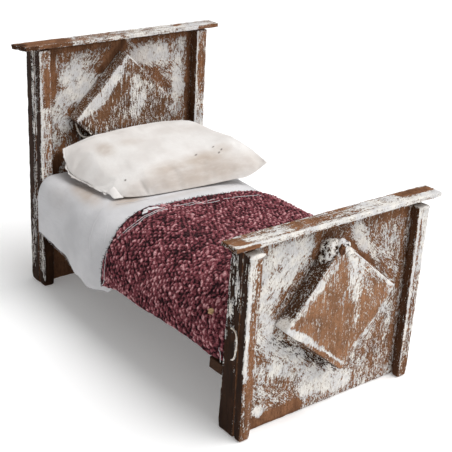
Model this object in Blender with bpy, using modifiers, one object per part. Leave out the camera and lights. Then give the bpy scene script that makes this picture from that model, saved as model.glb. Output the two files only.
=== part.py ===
"""Miniature panelled single bed: two painted end boards, a base board and bedding.

Units are metres.  +X is the bed's width, +Y runs from the foot to the head, +Z is up.
The origin is the middle of the bed's footprint, on the floor.
"""
import bpy
from math import cos, radians, sin

MM = 0.001

# Overall layout
BED_WIDTH = 100 * MM            # across both end boards
GAP = 0.3 * MM                  # clearance left between pieces that touch
LEFT = -47.8 * MM               # left side of the end boards
FOOT_Y = -88.75 * MM            # front faces of the footboard's stiles
HEAD_Y = FOOT_Y + 167 * MM      # front faces of the headboard's stiles

# Footboard
FOOT_HEIGHT = 89 * MM
FOOT_STILE = {"width": 6.6 * MM, "toe_width": 5.4 * MM, "depth": 4.4 * MM, "top_gap": 3.2 * MM}
FOOT_PANEL_TOP_DEPTH = 7.0 * MM
FOOT_PANEL_TOE_DEPTH = 10.4 * MM
FOOT_CAP = {"front": -1.2 * MM, "back": 8.6 * MM, "left": 8.0 * MM, "right": 5.3 * MM}

# Headboard
HEAD_HEIGHT = 127.5 * MM
HEAD_STILE = {"width": 6.3 * MM, "toe_width": 6.0 * MM, "depth": 5.4 * MM, "top_gap": 0.6 * MM}
HEAD_PANEL_TOP_DEPTH = 7.6 * MM
HEAD_PANEL_TOE_DEPTH = 8.2 * MM
HEAD_CAP = {"front": -1.2 * MM, "back": 8.0 * MM, "left": 10.9 * MM, "right": 6.5 * MM}

CAP_THICKNESS = 2.1 * MM

# Diamond blocks: square blocks set on a corner
FOOT_DIAMOND = {"side": 44 * MM, "depth": 7.8 * MM, "x": 49.3 * MM, "z": 51.0 * MM, "turn": 4.8}
HEAD_DIAMOND = {"side": 43.5 * MM, "depth": 8.3 * MM, "x": 49.0 * MM, "z": 89.8 * MM, "turn": 0.8}

# Base board and bedding
BASE_INSET = 6.9 * MM           # clear of the headboard's stiles
BASE_BOTTOM = 30.5 * MM
BASE_TOP = 33 * MM
BATTEN = {"height": 5.2 * MM, "depth": 9.0 * MM, "inset": 0.5 * MM}
MATTRESS_OVERHANG = 0.6 * MM    # the pad is a little wider than the end boards
MATTRESS_TOP = 61.5 * MM
MATTRESS_ROUND = 9 * MM
SHEET_THICKNESS = 0.7 * MM
SHEET_HEM = 23 * MM
SHEET_FOOT_HEM = 38 * MM
SHEET_HEAD_HEM = 33.5 * MM
SHEET_HEM_SLOPE = 11.0          # degrees, the hem falls from the headboard towards the foot
BLANKET_THICKNESS = 1.6 * MM
BLANKET_HEM = 34.5 * MM
BLANKET_LENGTH = 89 * MM        # from the footboard's back face towards the head
PILLOW_SIZE = (89 * MM, 46 * MM, 17.2 * MM)
PILLOW_X = 56.2 * MM            # from the left side of the end boards to the pillow's middle
PILLOW_BACK_GAP = 4.2 * MM      # from the headboard stiles' front faces, clear of the diamond block


def clear_scene():
    for thing in list(bpy.data.objects):
        bpy.data.objects.remove(thing, do_unlink=True)


def new_collection(name):
    collection = bpy.data.collections.new(name)
    bpy.context.scene.collection.children.link(collection)
    return collection


def principled(name, colour, roughness):
    material = bpy.data.materials.new(name)
    material.use_nodes = True
    shader = material.node_tree.nodes["Principled BSDF"]
    shader.inputs["Base Color"].default_value = (*colour, 1.0)
    shader.inputs["Roughness"].default_value = roughness
    shader.inputs["Metallic"].default_value = 0.0
    material.diffuse_color = (*colour, 1.0)
    return material


def move_to(thing, collection):
    for owner in list(thing.users_collection):
        owner.objects.unlink(thing)
    collection.objects.link(thing)


def block(name, low, high, collection):
    """A cube primitive that fills the box from low to high, with its scale applied."""
    size = [b - a for a, b in zip(low, high)]
    centre = [(a + b) / 2 for a, b in zip(low, high)]
    bpy.ops.mesh.primitive_cube_add(size=1.0, location=centre)
    thing = bpy.context.active_object
    thing.name = name
    thing.data.name = name
    thing.scale = size
    bpy.ops.object.transform_apply(location=False, rotation=False, scale=True)
    move_to(thing, collection)
    return thing


def paint(thing, colour, roughness=0.8):
    thing.data.materials.append(principled(thing.name + "_surface", colour, roughness))


def bevel(thing, width, segments=2):
    modifier = thing.modifiers.new("Bevel", "BEVEL")
    modifier.width = width
    modifier.segments = segments
    modifier.limit_method = "ANGLE"
    modifier.angle_limit = radians(40)
    return modifier


def cut(thing, cutter):
    cutter.hide_render = True
    cutter.display_type = "WIRE"
    modifier = thing.modifiers.new("Cut by " + cutter.name, "BOOLEAN")
    modifier.operation = "DIFFERENCE"
    modifier.solver = "EXACT"
    modifier.object = cutter
    return modifier


def smooth(thing, angle=40):
    bpy.context.view_layer.objects.active = thing
    thing.select_set(True)
    bpy.ops.object.shade_smooth_by_angle(angle=radians(angle))
    thing.select_set(False)


def taper(thing, axis, side, toe_change):
    """Move the lower corners on one side of a block along an axis, so that its foot is wider or narrower."""
    for vertex in thing.data.vertices:
        if vertex.co.z < 0 and vertex.co[axis] * side > 0:
            vertex.co[axis] += side * toe_change


def end_board(prefix, front_y, height, stile, top_depth, toe_depth, cap, diamond, collection, colours):
    """One end board: a panel with two stiles, a diamond block and a cap, all on its front or top."""
    right = LEFT + BED_WIDTH
    panel_y = front_y + stile["depth"] + GAP
    panel = block(prefix + "_panel", (LEFT, panel_y, 0), (right, panel_y + top_depth, height), collection)
    taper(panel, 1, 1, toe_depth - top_depth)
    bevel(panel, 0.7 * MM)
    paint(panel, colours["panel"])

    stile_top = height - stile["top_gap"]
    for side, edge, inner in (("left", LEFT, LEFT + stile["width"]), ("right", right, right - stile["width"])):
        low = (min(edge, inner), front_y, 0)
        high = (max(edge, inner), front_y + stile["depth"], stile_top)
        strip = block(prefix + "_stile_" + side, low, high, collection)
        # The left stile loses width on its inner side, and the right stile on its outer side.
        taper(strip, 0, 1, stile["toe_width"] - stile["width"])
        bevel(strip, 0.8 * MM)
        paint(strip, colours["stile"])

    cap_low = (LEFT - cap["left"], front_y + cap["front"], height + GAP)
    cap_high = (right + cap["right"], front_y + cap["back"], height + GAP + CAP_THICKNESS)
    stick = block(prefix + "_cap", cap_low, cap_high, collection)
    bevel(stick, 0.5 * MM)
    paint(stick, colours["cap"])

    half = diamond["side"] / 2
    low = (-half, -diamond["depth"] / 2, -half)
    high = (half, diamond["depth"] / 2, half)
    tile = block(prefix + "_diamond", low, high, collection)
    tile.location = (LEFT + diamond["x"], panel_y - GAP - diamond["depth"] / 2, diamond["z"])
    tile.rotation_euler = (0, radians(45 - diamond["turn"]), 0)
    bevel(tile, 0.9 * MM)
    paint(tile, colours["diamond"])
    return stick


def splinter_cap_end(cap, cutters):
    """Break the corner off the headboard cap's left end, as on a snapped stick."""
    end_x = LEFT - HEAD_CAP["left"]
    cutter = block("cap_end_cutter", (-4 * MM, -4 * MM, -4 * MM), (4 * MM, 4 * MM, 4 * MM), cutters)
    cutter.location = (end_x - 2.6 * MM, HEAD_Y + HEAD_CAP["front"] - 2.0 * MM, HEAD_HEIGHT + CAP_THICKNESS / 2)
    cutter.rotation_euler = (radians(8), radians(6), radians(38))
    cut(cap, cutter)


def footboard_back(height):
    """Y of the footboard panel's sloping back face at a height."""
    lean = FOOT_PANEL_TOE_DEPTH - FOOT_PANEL_TOP_DEPTH
    return FOOT_Y + FOOT_STILE["depth"] + GAP + FOOT_PANEL_TOE_DEPTH - lean * height / FOOT_HEIGHT


def base_board(collection):
    """The thin board the mattress lies on, between the headboard's stiles and on a batten at each end."""
    colour = (0.055, 0.03, 0.018)
    panel_face = HEAD_Y + HEAD_STILE["depth"] + GAP
    left, right = LEFT + BASE_INSET, LEFT + BED_WIDTH - BASE_INSET
    low = (left, footboard_back(BASE_BOTTOM) + GAP, BASE_BOTTOM)
    board = block("base_board", low, (right, panel_face - GAP, BASE_TOP), collection)
    bevel(board, 0.4 * MM)
    paint(board, colour)

    top = BASE_BOTTOM - GAP
    bottom = top - BATTEN["height"]
    foot_start = footboard_back(bottom) + GAP
    foot_low = (LEFT + BATTEN["inset"], foot_start, bottom)
    foot_high = (LEFT + BED_WIDTH - BATTEN["inset"], foot_start + BATTEN["depth"], top)
    head_high = (right, panel_face - GAP, top)
    head_low = (left, head_high[1] - BATTEN["depth"], bottom)
    for name, a, b in (("foot_batten", foot_low, foot_high), ("head_batten", head_low, head_high)):
        batten = block(name, a, b, collection)
        bevel(batten, 0.4 * MM)
        paint(batten, colour)


def diamond_relief(cutters):
    """Room for the lowest corner of the headboard's diamond block, where the bedding meets it."""
    half = HEAD_DIAMOND["side"] / 2 + GAP
    depth = HEAD_DIAMOND["depth"] / 2 + GAP
    cutter = block("diamond_relief", (-half, -depth, -half), (half, depth, half), cutters)
    front = HEAD_Y + HEAD_STILE["depth"] - HEAD_DIAMOND["depth"] / 2
    cutter.location = (LEFT + HEAD_DIAMOND["x"], front, HEAD_DIAMOND["z"])
    cutter.rotation_euler = (0, radians(45 - HEAD_DIAMOND["turn"]), 0)
    return cutter


def bed_run():
    """The Y range of the bedding, between the footboard's back and the headboard's stiles."""
    return footboard_back(BASE_TOP) + GAP, HEAD_Y - 2 * GAP


def mattress(collection, relief):
    start, end = bed_run()
    low = (LEFT - MATTRESS_OVERHANG, start, BASE_TOP + GAP)
    high = (LEFT + BED_WIDTH + MATTRESS_OVERHANG, end, MATTRESS_TOP)
    pad = block("mattress", low, high, collection)
    bevel(pad, MATTRESS_ROUND, 4)
    cut(pad, relief)
    smooth(pad)
    paint(pad, (0.75, 0.73, 0.68), 0.9)


def draped_shell(name, inner_gap, thickness, start, end, hem, collection, cutters):
    """Cloth over the mattress: a top with two hanging sides, cut out of a rounded block."""
    inner_left = LEFT - MATTRESS_OVERHANG - inner_gap
    inner_right = LEFT + BED_WIDTH + MATTRESS_OVERHANG + inner_gap
    inner_top = MATTRESS_TOP + inner_gap
    low = (inner_left - thickness, start - 20 * MM, hem - 20 * MM)
    high = (inner_right + thickness, end + 20 * MM, inner_top + thickness)
    cloth = block(name, low, high, collection)
    bevel(cloth, MATTRESS_ROUND + inner_gap + thickness, 4)
    hollow = block(name + "_hollow", (inner_left, start - 40 * MM, hem - 60 * MM),
                   (inner_right, end + 40 * MM, inner_top), cutters)
    bevel(hollow, MATTRESS_ROUND + inner_gap, 4)
    cut(cloth, hollow)
    wide = 40 * MM
    trims = {
        "foot": ((low[0] - wide, start - 60 * MM, hem - 60 * MM), (high[0] + wide, start, high[2] + wide)),
        "head": ((low[0] - wide, end, hem - 60 * MM), (high[0] + wide, end + 60 * MM, high[2] + wide)),
        "hem": ((low[0] - wide, start - 60 * MM, hem - 60 * MM), (high[0] + wide, end + 60 * MM, hem)),
    }
    for side, (a, b) in trims.items():
        cut(cloth, block(name + "_" + side + "_trim", a, b, cutters))
    return cloth


def bedding(collection, cutters, relief):
    start, end = bed_run()
    sheet = draped_shell("bed_sheet", GAP, SHEET_THICKNESS, start + 0.4 * MM, end - 0.2 * MM, SHEET_HEM,
                         collection, cutters)
    blanket_end = start + BLANKET_LENGTH
    under = block("bed_sheet_foot_trim_low", (LEFT - 40 * MM, start - 40 * MM, 0),
                  (LEFT + BED_WIDTH + 40 * MM, blanket_end - 9 * MM, SHEET_FOOT_HEM), cutters)
    cut(sheet, under)
    cut(sheet, relief)
    lean = radians(SHEET_HEM_SLOPE)
    half_thick = 15 * MM
    slope = block("bed_sheet_slope_trim", (-80 * MM, -60 * MM, -half_thick), (80 * MM, 60 * MM, half_thick),
                  cutters)
    slope.location = (LEFT + BED_WIDTH / 2, end + half_thick * sin(lean),
                      SHEET_HEAD_HEM - half_thick * cos(lean))
    slope.rotation_euler = (lean, 0, 0)
    cut(sheet, slope)
    smooth(sheet)
    paint(sheet, (0.78, 0.78, 0.8), 0.9)

    blanket_gap = 2 * GAP + SHEET_THICKNESS
    blanket = draped_shell("blanket", blanket_gap, BLANKET_THICKNESS, start + 0.2 * MM, blanket_end, BLANKET_HEM,
                           collection, cutters)
    smooth(blanket)
    paint(blanket, (0.2, 0.045, 0.065), 0.95)


def pillow(collection):
    """The loose pillow.  Its origin is the middle of its underside, on its lift-off axis."""
    width, depth, height = PILLOW_SIZE
    bottom = MATTRESS_TOP + 2 * GAP + SHEET_THICKNESS
    back = HEAD_Y - PILLOW_BACK_GAP
    pad = block("pillow", (-width / 2, -depth / 2, 0), (width / 2, depth / 2, height), collection)
    for vertex in pad.data.vertices:
        vertex.co.z += height / 2
    pad.location = (LEFT + PILLOW_X, back - depth / 2, bottom)
    bevel(pad, 6 * MM, 4)
    smooth(pad)
    paint(pad, (0.8, 0.76, 0.7), 0.9)


def build():
    clear_scene()
    parts = new_collection("miniature_bed")
    cutters = new_collection("cutters")
    colours = {
        "panel": (0.5, 0.45, 0.4),
        "stile": (0.3, 0.19, 0.12),
        "cap": (0.45, 0.37, 0.3),
        "diamond": (0.33, 0.22, 0.15),
    }
    end_board("footboard", FOOT_Y, FOOT_HEIGHT, FOOT_STILE, FOOT_PANEL_TOP_DEPTH, FOOT_PANEL_TOE_DEPTH,
              FOOT_CAP, FOOT_DIAMOND, parts, colours)
    head_cap = end_board("headboard", HEAD_Y, HEAD_HEIGHT, HEAD_STILE, HEAD_PANEL_TOP_DEPTH,
                         HEAD_PANEL_TOE_DEPTH, HEAD_CAP, HEAD_DIAMOND, parts, colours)
    splinter_cap_end(head_cap, cutters)
    base_board(parts)
    relief = diamond_relief(cutters)
    mattress(parts, relief)
    bedding(parts, cutters, relief)
    pillow(parts)


build()
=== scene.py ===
"""Looks for the miniature panelled bed: worn painted boards, a draped sheet, a woven blanket and a pillow.

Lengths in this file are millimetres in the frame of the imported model, and every mesh is scaled to metres
when it is made.  The bed's foot faces -Y, its head +Y, and it stands on Z = 0.
"""
from math import cos, pi, radians, sin

import bpy
import numpy as np
from mathutils import Matrix, Vector


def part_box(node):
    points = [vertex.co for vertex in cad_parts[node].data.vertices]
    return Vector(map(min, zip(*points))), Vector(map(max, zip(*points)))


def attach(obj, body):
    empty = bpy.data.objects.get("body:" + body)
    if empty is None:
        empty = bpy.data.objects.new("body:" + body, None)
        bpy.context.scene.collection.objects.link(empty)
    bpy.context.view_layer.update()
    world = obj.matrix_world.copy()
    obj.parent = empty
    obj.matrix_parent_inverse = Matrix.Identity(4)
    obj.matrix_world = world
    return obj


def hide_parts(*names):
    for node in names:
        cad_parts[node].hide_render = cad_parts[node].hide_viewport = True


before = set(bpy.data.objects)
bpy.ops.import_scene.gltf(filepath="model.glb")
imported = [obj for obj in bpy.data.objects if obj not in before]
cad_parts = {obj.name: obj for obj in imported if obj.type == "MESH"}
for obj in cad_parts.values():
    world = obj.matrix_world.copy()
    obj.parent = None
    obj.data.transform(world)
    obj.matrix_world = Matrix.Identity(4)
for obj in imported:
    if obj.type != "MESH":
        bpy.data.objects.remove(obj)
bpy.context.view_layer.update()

MM = 0.001

# Camera: where it stands and how it is turned, worked out for the reference view
CAMERA_PLACE = (-284.96, -371.37, 260.93)
CAMERA_YAW = 38.44
CAMERA_PITCH = -23.79
CAMERA_ROLL = 2.94
CAMERA_LENS = 85.0
CAMERA_SENSOR = 36.0

# Light
SKY_STRENGTH = 0.37
KEY_STRENGTH = 2.85
KEY_SPREAD = 55.0
KEY_DIRECTION = (-0.36, 0.42, -0.9)
FLOOR_GLOW = 0.17
FLOOR_REACH = 4000.0
WHITE = (1.0, 1.0, 1.0, 1.0)

# Painted boards
BOARD_SPACING = 1.0
PANEL_TENON = 0.7               # how far a panel reaches up into its cap
FULLEST_COVER = 0.94            # even the whitest places show some specks of wood
EDGE_REACH = 2.2                # how far from an edge it still counts as worn
SHARPEST_EDGE = 0.12            # radius of the least worn edge
LEAN_UP, LEAN_DOWN = 40, -48    # degrees by which leaning brush strokes are turned from upright
SWEEP = 2.8                     # broad brush sweeps, as a multiple of the fine streaks
CRISP = 0.04                    # how sharp the paint's rims are
WASH = 0.26                     # how far a thin veil of paint reaches beyond its rim
# Per end board: seed, panel's depth at its toe and top, width a stile loses at its toe, and the diamond
# block's side, depth and turn in degrees
END_BOARDS = {
    "footboard": (1, (10.4, 7.0), 1.2, 44.0, 7.8, 40.2),
    "headboard": (2, (8.2, 7.6), 0.3, 43.5, 8.3, 44.2),
}

# Bedding
# The side hems' heights along the bed: (y, z)
SHEET_HEM = ((77.5, 33.5), (52, 31), (39.5, 25.5), (26, 23.2), (12, 27), (2, 36), (-75, 39))
BLANKET_HEM = ((15, 29.5), (10, 31.2), (0, 33.6), (-20, 33.4), (-46, 35.4), (-62, 35.4), (-70, 33.6),
               (-75, 32.2))
SHEET_GRID = (190, 210)         # points along and across
BLANKET_GRID = (168, 292)
SHEET_SHOWS_FROM = 11.0         # y where the blanket ends
SHEET_THICKNESS = 0.35
BLANKET_THICKNESS = 0.8         # without the yarn's loops
BLANKET_WIDTH = 165.0
THREAD_STEP = 0.42              # from one thread of the cotton to the next


# ---------------------------------------------------------------- numbers

def scatter(a, b, c=0):
    """A random number from -1 to 1 for each set of whole numbers, the same on every run."""
    mixed = (a * 73856093) ^ (b * 19349663) ^ (c * 83492791)
    mixed = (mixed * 2654435761) & 0xFFFFFFFF
    mixed ^= mixed >> 15
    mixed = (mixed * 2246822519) & 0xFFFFFFFF
    mixed ^= mixed >> 13
    return mixed / 2.0**31 - 1


def smooth_noise(points, scale, seed):
    """Random numbers from -1 to 1 that change smoothly over a length of about scale."""
    where = np.asarray(points, float) / scale + seed * 17.31
    cell = np.floor(where).astype(np.int64)
    inside = where - cell
    inside = inside * inside * (3 - 2 * inside)
    total = np.zeros(len(where))
    for corner in np.ndindex(2, 2, 2):
        spot = cell + corner
        weight = np.prod(np.where(corner, inside, 1 - inside), axis=1)
        total += weight * scatter(spot[:, 0], spot[:, 1], spot[:, 2])
    return total


def flat_noise(across, along, scale, seed):
    """Smooth noise over a grid of flat cloth places."""
    places = np.stack((across, along, np.zeros_like(across)), axis=-1)
    return smooth_noise(places.reshape(-1, 3), scale, seed).reshape(across.shape)


def smoothstep(low, high, value):
    t = np.clip((np.asarray(value, float) - low) / (high - low), 0, 1)
    return t * t * (3 - 2 * t)


def along_keys(keys, where):
    """Smooth values along (place, value) keys, which may be listed in either direction."""
    places, values = np.array(sorted(keys), float).T
    where = np.clip(where, places[0], places[-1])
    slot = np.clip(np.searchsorted(places, where) - 1, 0, len(places) - 2)
    t = (where - places[slot]) / (places[slot + 1] - places[slot])
    t = t * t * (3 - 2 * t)
    return values[slot] * (1 - t) + values[slot + 1] * t


def srgb(red, green, blue):
    """A colour given in everyday 0 to 255 numbers, as Blender's linear numbers."""
    parts = []
    for part in (red, green, blue):
        part /= 255
        parts.append(part / 12.92 if part <= 0.04045 else ((part + 0.055) / 1.055) ** 2.4)
    return (*parts, 1.0)


# ---------------------------------------------------------------- meshes

def new_object(name, points, faces, smooth=True):
    """A mesh object from points in millimetres."""
    mesh = bpy.data.meshes.new(name)
    mesh.from_pydata((np.asarray(points, float) * MM).tolist(), [], [tuple(map(int, f)) for f in faces])
    mesh.validate()
    mesh.update()
    if smooth:
        mesh.shade_smooth()
    thing = bpy.data.objects.new(name, mesh)
    bpy.context.scene.collection.objects.link(thing)
    return thing


def give_attributes(thing, layers=1, **values):
    """Store numbers at a mesh's points, the same ones for each layer of a cloth."""
    for name, numbers in values.items():
        attribute = thing.data.attributes.new(name, "FLOAT", "POINT")
        attribute.data.foreach_set("value", np.tile(np.ravel(numbers), layers).astype(np.float32))


def cad_box(node):
    """A CAD node's lowest and highest corner in millimetres."""
    low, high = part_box(node)
    return np.array(low) / MM, np.array(high) / MM


def side_lines(low, high, radius, spacing):
    """Places along one side of a board, closer together where its edges are rounded."""
    edge = radius * np.array((0.0, 0.18, 0.42, 0.7, 1.0))
    steps = max(1, int(round((high - low - 2 * radius) / spacing)))
    middle = np.linspace(low + radius, high - radius, steps + 1)
    return np.unique(np.round(np.concatenate((low + edge, middle, high - edge)), 5))


def grid_quads(number):
    """Faces over a grid of point numbers."""
    corners = (number[:-1, :-1], number[1:, :-1], number[1:, 1:], number[:-1, 1:])
    return np.stack(corners, axis=-1).reshape(-1, 4)


def box_lattice(low, high, radius, spacing):
    """Points and faces all over a box, with no point twice."""
    lines = [side_lines(a, b, radius, spacing) for a, b in zip(low, high)]
    number = -np.ones([len(line) for line in lines], int)
    ends = [(axis, end) for axis in range(3) for end in (0, -1)]
    for axis, end in ends:
        np.moveaxis(number, axis, 0)[end] = 0
    spots = np.argwhere(number == 0)
    number[tuple(spots.T)] = np.arange(len(spots))
    points = np.stack([lines[axis][spots[:, axis]] for axis in range(3)], axis=1)
    faces = []
    for axis, end in ends:
        quads = grid_quads(np.take(number, end, axis))
        outward = (end == -1) == (axis != 1)
        faces.append(quads if outward else quads[:, ::-1])
    return points, np.concatenate(faces)


def catmull(points, counts):
    """A smooth curve through points, counts points to each step."""
    points = np.asarray(points, float)
    longer = np.concatenate((points[:1], points, points[-1:]))
    t = np.linspace(0, 1, counts, endpoint=False)[:, None]
    curve = []
    for a, b, c, d in zip(longer, longer[1:], longer[2:], longer[3:]):
        bend = (2 * a - 5 * b + 4 * c - d) * t**2 + (3 * b - a - 3 * c + d) * t**3
        curve.append(0.5 * (2 * b + (c - a) * t + bend))
    return np.concatenate((*curve, points[-1:]))


def ring_quads(rings, sides):
    """Faces between closed rings of points, numbered ring by ring."""
    number = np.arange(rings * sides).reshape(rings, sides)
    following = np.roll(number, -1, axis=1)
    corners = (number[:-1], following[:-1], following[1:], number[1:])
    return np.stack(corners, axis=-1).reshape(-1, 4).tolist()


def capped_rings(rings, sides):
    """Faces over closed rings of points and the two end points numbered after them."""
    first, last = rings * sides, rings * sides + 1
    faces = ring_quads(rings, sides)
    for i in range(sides):
        j = (i + 1) % sides
        faces += [(first, j, i), (last, first - sides + i, first - sides + j)]
    return faces


def tube_shape(path, radius, sides=6):
    """Points and faces of a closed tube along a path, pointed at both ends."""
    path = np.asarray(path, float)
    run = np.gradient(path, axis=0)
    run /= np.maximum(np.linalg.norm(run, axis=1, keepdims=True), 1e-9)
    side = np.cross(run, (0.31, 0.17, 0.93))
    side /= np.maximum(np.linalg.norm(side, axis=1, keepdims=True), 1e-9)
    turn = (np.arange(sides) * 2 * pi / sides)[None, :, None]
    ring = np.cos(turn) * side[:, None] + np.sin(turn) * np.cross(run, side)[:, None]
    points = (path[:, None] + radius * ring).reshape(-1, 3)
    tips = np.stack((path[0] - run[0] * radius, path[-1] + run[-1] * radius))
    return np.concatenate((points, tips)), capped_rings(len(path), sides)


def joined(shapes):
    """One set of points and faces from several."""
    points, faces, count = [], [], 0
    for shape_points, shape_faces in shapes:
        points.append(shape_points)
        faces.extend(tuple(count + number for number in face) for face in shape_faces)
        count += len(shape_points)
    return np.concatenate(points), faces


def lump_shape(centre, size, seed, rough=0.28):
    """A knobbly ball, and how far each point stands out or sinks in, from -1 to 1."""
    rows, columns = 26, 40
    polar = np.linspace(0, pi, rows + 2)[1:-1]
    turn = np.arange(columns) * 2 * pi / columns
    ring = [[(np.sin(a) * np.cos(b), np.sin(a) * np.sin(b), np.cos(a)) for b in turn] for a in polar]
    facing = np.concatenate((np.array(ring).reshape(-1, 3), [(0, 0, 1), (0, 0, -1)]))
    height = 0.65 * smooth_noise(facing, 0.55, seed) + 0.35 * smooth_noise(facing, 0.22, seed + 1)
    points = np.array(centre) + facing * np.array(size) * (1 + rough * height[:, None])
    return points, [face[::-1] for face in capped_rings(rows, columns)], height


def edge_distance(points, low, high):
    """How far each point of a box's surface is from the nearest edge."""
    gaps = np.concatenate((points - low, high - points), axis=1)
    return np.sort(gaps, axis=1)[:, 1]


def rounded(points, low, high, radius):
    """Move points of a box's surface onto rounded edges, and give the directions they face."""
    radius = np.minimum(radius, ((high - low) / 2).min() * 0.98)[:, None]
    core = np.clip(points, low + radius, high - radius)
    away = points - core
    length = np.linalg.norm(away, axis=1, keepdims=True)
    facing = away / np.maximum(length, 1e-9)
    return core + facing * radius, facing


def stroke_cover(place, layout):
    """Paint cover at flat places: a base amount, and brush strokes (x0, y0, x1, y1, half width, amount)."""
    base, *strokes = layout if isinstance(layout, tuple) else (layout,)
    cover = np.full(len(place), float(base))
    for x0, y0, x1, y1, half_width, amount in strokes:
        start = np.array((x0, y0), float)
        run = np.array((x1, y1), float) - start
        offset = place - start
        along = np.clip(offset @ run / max(run @ run, 1e-9), 0, 1)
        distance = np.linalg.norm(offset - along[:, None] * run, axis=1)
        cover += amount * smoothstep(0, 0.6, 1 - distance / half_width)
    return cover


FACES = {
    "left": (0, -1, (1, 2)),
    "right": (0, 1, (1, 2)),
    "front": (1, -1, (0, 2)),
    "back": (1, 1, (0, 2)),
    "bottom": (2, -1, (0, 1)),
    "top": (2, 1, (0, 1)),
}


def paint_board(thing, points, facing, paint, edge):
    """Store the paint cover, grime (soot together with painted shade) and brush leans that the wood material
    reads.
    """
    cover, grime = np.zeros((2, len(points)))
    for name, (axis, side, plane) in FACES.items():
        share = np.clip(facing[:, axis] * side, 0, None) ** 2
        flat = points[:, plane]
        cover += share * stroke_cover(flat, paint["cover"].get(name, paint["base"]))
        grime += share * stroke_cover(flat, paint["grime"].get(name, 0.0))
    cover = np.clip(cover, -0.4, FULLEST_COVER)
    give_attributes(thing, cover=cover, grime=np.clip(grime, 0, 1), edge=1 - smoothstep(0, EDGE_REACH, edge))
    front = np.clip(-facing[:, 1], 0, None) ** 2
    for lean in ("lean_up", "lean_down"):
        amount = front * stroke_cover(points[:, (0, 2)], (0, *paint.get(lean, ())))
        give_attributes(thing, **{lean: np.clip(amount, 0, 1)})


def worn_board(name, low, high, paint, radius, seed, reshape=None, turn=None, toe_round=1.0,
               spacing=BOARD_SPACING):
    """A board with uneven rounded edges.  turn is (degrees, centre) for a block set on a corner."""
    low, high = np.array(low, float), np.array(high, float)
    largest = min(radius * 2.6, (high - low).min() * 0.45)
    points, faces = box_lattice(low, high, largest, spacing)
    edge = edge_distance(points, low, high)
    wear = 0.75 + 0.5 * smooth_noise(points, 5.0, seed) + 0.35 * smooth_noise(points, 1.7, seed + 3)
    chips = smoothstep(0.45, 0.8, smooth_noise(points, 3.1, seed + 5))
    near_toe = 1 - smoothstep(0.5, 5.0, points[:, 2] - low[2])
    local = radius * (wear + 0.9 * chips + (toe_round - 1) * near_toe)
    points, facing = rounded(points, low, high, np.clip(local, SHARPEST_EDGE, largest))
    bumps = 0.10 * smooth_noise(points, 2.3, seed + 7) + 0.05 * smooth_noise(points, 0.9, seed + 8)
    points = points + facing * bumps[:, None]
    if reshape:
        points = reshape(points, low, high)
    if turn:
        degrees, centre = turn
        points = points @ np.array(Matrix.Rotation(radians(degrees), 3, "Y")).T + centre
    thing = new_object(name, points, faces)
    paint_board(thing, points, facing, paint, edge)
    return thing


# ---------------------------------------------------------------- materials

class Surface:
    """A short way to write a material's nodes.  Most methods add a node and give its output."""

    def __init__(self, name):
        self.material = bpy.data.materials.new(name)
        self.material.use_nodes = True
        self.tree = self.material.node_tree
        self.place = self.add("ShaderNodeTexCoord").outputs["Object"]

    def add(self, kind, inputs=None, **settings):
        node = self.tree.nodes.new(kind)
        for name, value in settings.items():
            setattr(node, name, value)
        self.feed(node, inputs or {})
        return node

    def feed(self, node, inputs):
        for key, value in inputs.items():
            if isinstance(value, bpy.types.NodeSocket):
                self.tree.links.new(value, node.inputs[key])
            else:
                node.inputs[key].default_value = value

    def finished(self, inputs):
        """Feed the shader, and give the material."""
        self.feed(self.tree.nodes["Principled BSDF"], inputs)
        return self.material

    def maths(self, operation, *values):
        return self.add("ShaderNodeMath", dict(enumerate(values)), operation=operation).outputs[0]

    def plus(self, *values):
        total = values[0]
        for value in values[1:]:
            total = self.maths("ADD", total, value)
        return total

    def times(self, a, b):
        return self.maths("MULTIPLY", a, b)

    def weighted(self, *terms):
        """The sum of (value, weight) terms."""
        return self.plus(*(self.times(value, weight) for value, weight in terms))

    def between(self, share, a, b):
        """Value a where share is 0, value b where it is 1."""
        return self.add("ShaderNodeMix", {0: share, 2: a, 3: b}).outputs[0]

    def mix(self, share, a, b):
        """Colour a where share is 0, colour b where it is 1."""
        return self.add("ShaderNodeMix", {0: share, 6: a, 7: b}, data_type="RGBA").outputs[2]

    def ramp(self, value, low, high, out_low=0.0, out_high=1.0):
        inputs = {"Value": value, "From Min": low, "From Max": high, "To Min": out_low, "To Max": out_high}
        return self.add("ShaderNodeMapRange", inputs, interpolation_type="SMOOTHSTEP").outputs[0]

    def tint(self, colour, other, value, low, high, most=1.0):
        """Colour, turned towards other as value goes from low to high."""
        return self.mix(self.ramp(value, low, high, 0.0, most), colour, other)

    def stored(self, name):
        return self.add("ShaderNodeAttribute", attribute_name=name).outputs["Fac"]

    def noise(self, sizes, detail=2.0, roughness=0.5, distortion=0.0, tilt=0.0):
        """Noise with features of sizes millimetres, one for all ways or one for each, tilted about Y."""
        scale = [float(size) * MM for size in np.broadcast_to(sizes, 3)]
        stretch = {"Vector": self.place, "Scale": scale, "Rotation": (0.0, radians(tilt), 0.0)}
        vector = self.add("ShaderNodeMapping", stretch, vector_type="TEXTURE").outputs[0]
        inputs = {"Vector": vector, "Scale": 1.0, "Detail": detail, "Roughness": roughness,
                  "Distortion": distortion}
        return self.add("ShaderNodeTexNoise", inputs).outputs[0]

    def even_noise(self, sizes, detail=2.0, roughness=0.5, **others):
        """Noise stretched so that it fills 0 to 1 evenly."""
        return self.ramp(self.noise(sizes, detail, roughness, **others), 0.27, 0.73)

    def bump(self, height, distance, strength=1.0, below=None):
        inputs = {"Height": height, "Distance": distance * MM, "Strength": strength}
        if below is not None:
            inputs["Normal"] = below
        return self.add("ShaderNodeBump", inputs).outputs[0]


def lengthwise(along, long, thin):
    """Sizes of noise that runs along one way."""
    return [long if each == along else thin for each in "xyz"]


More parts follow.
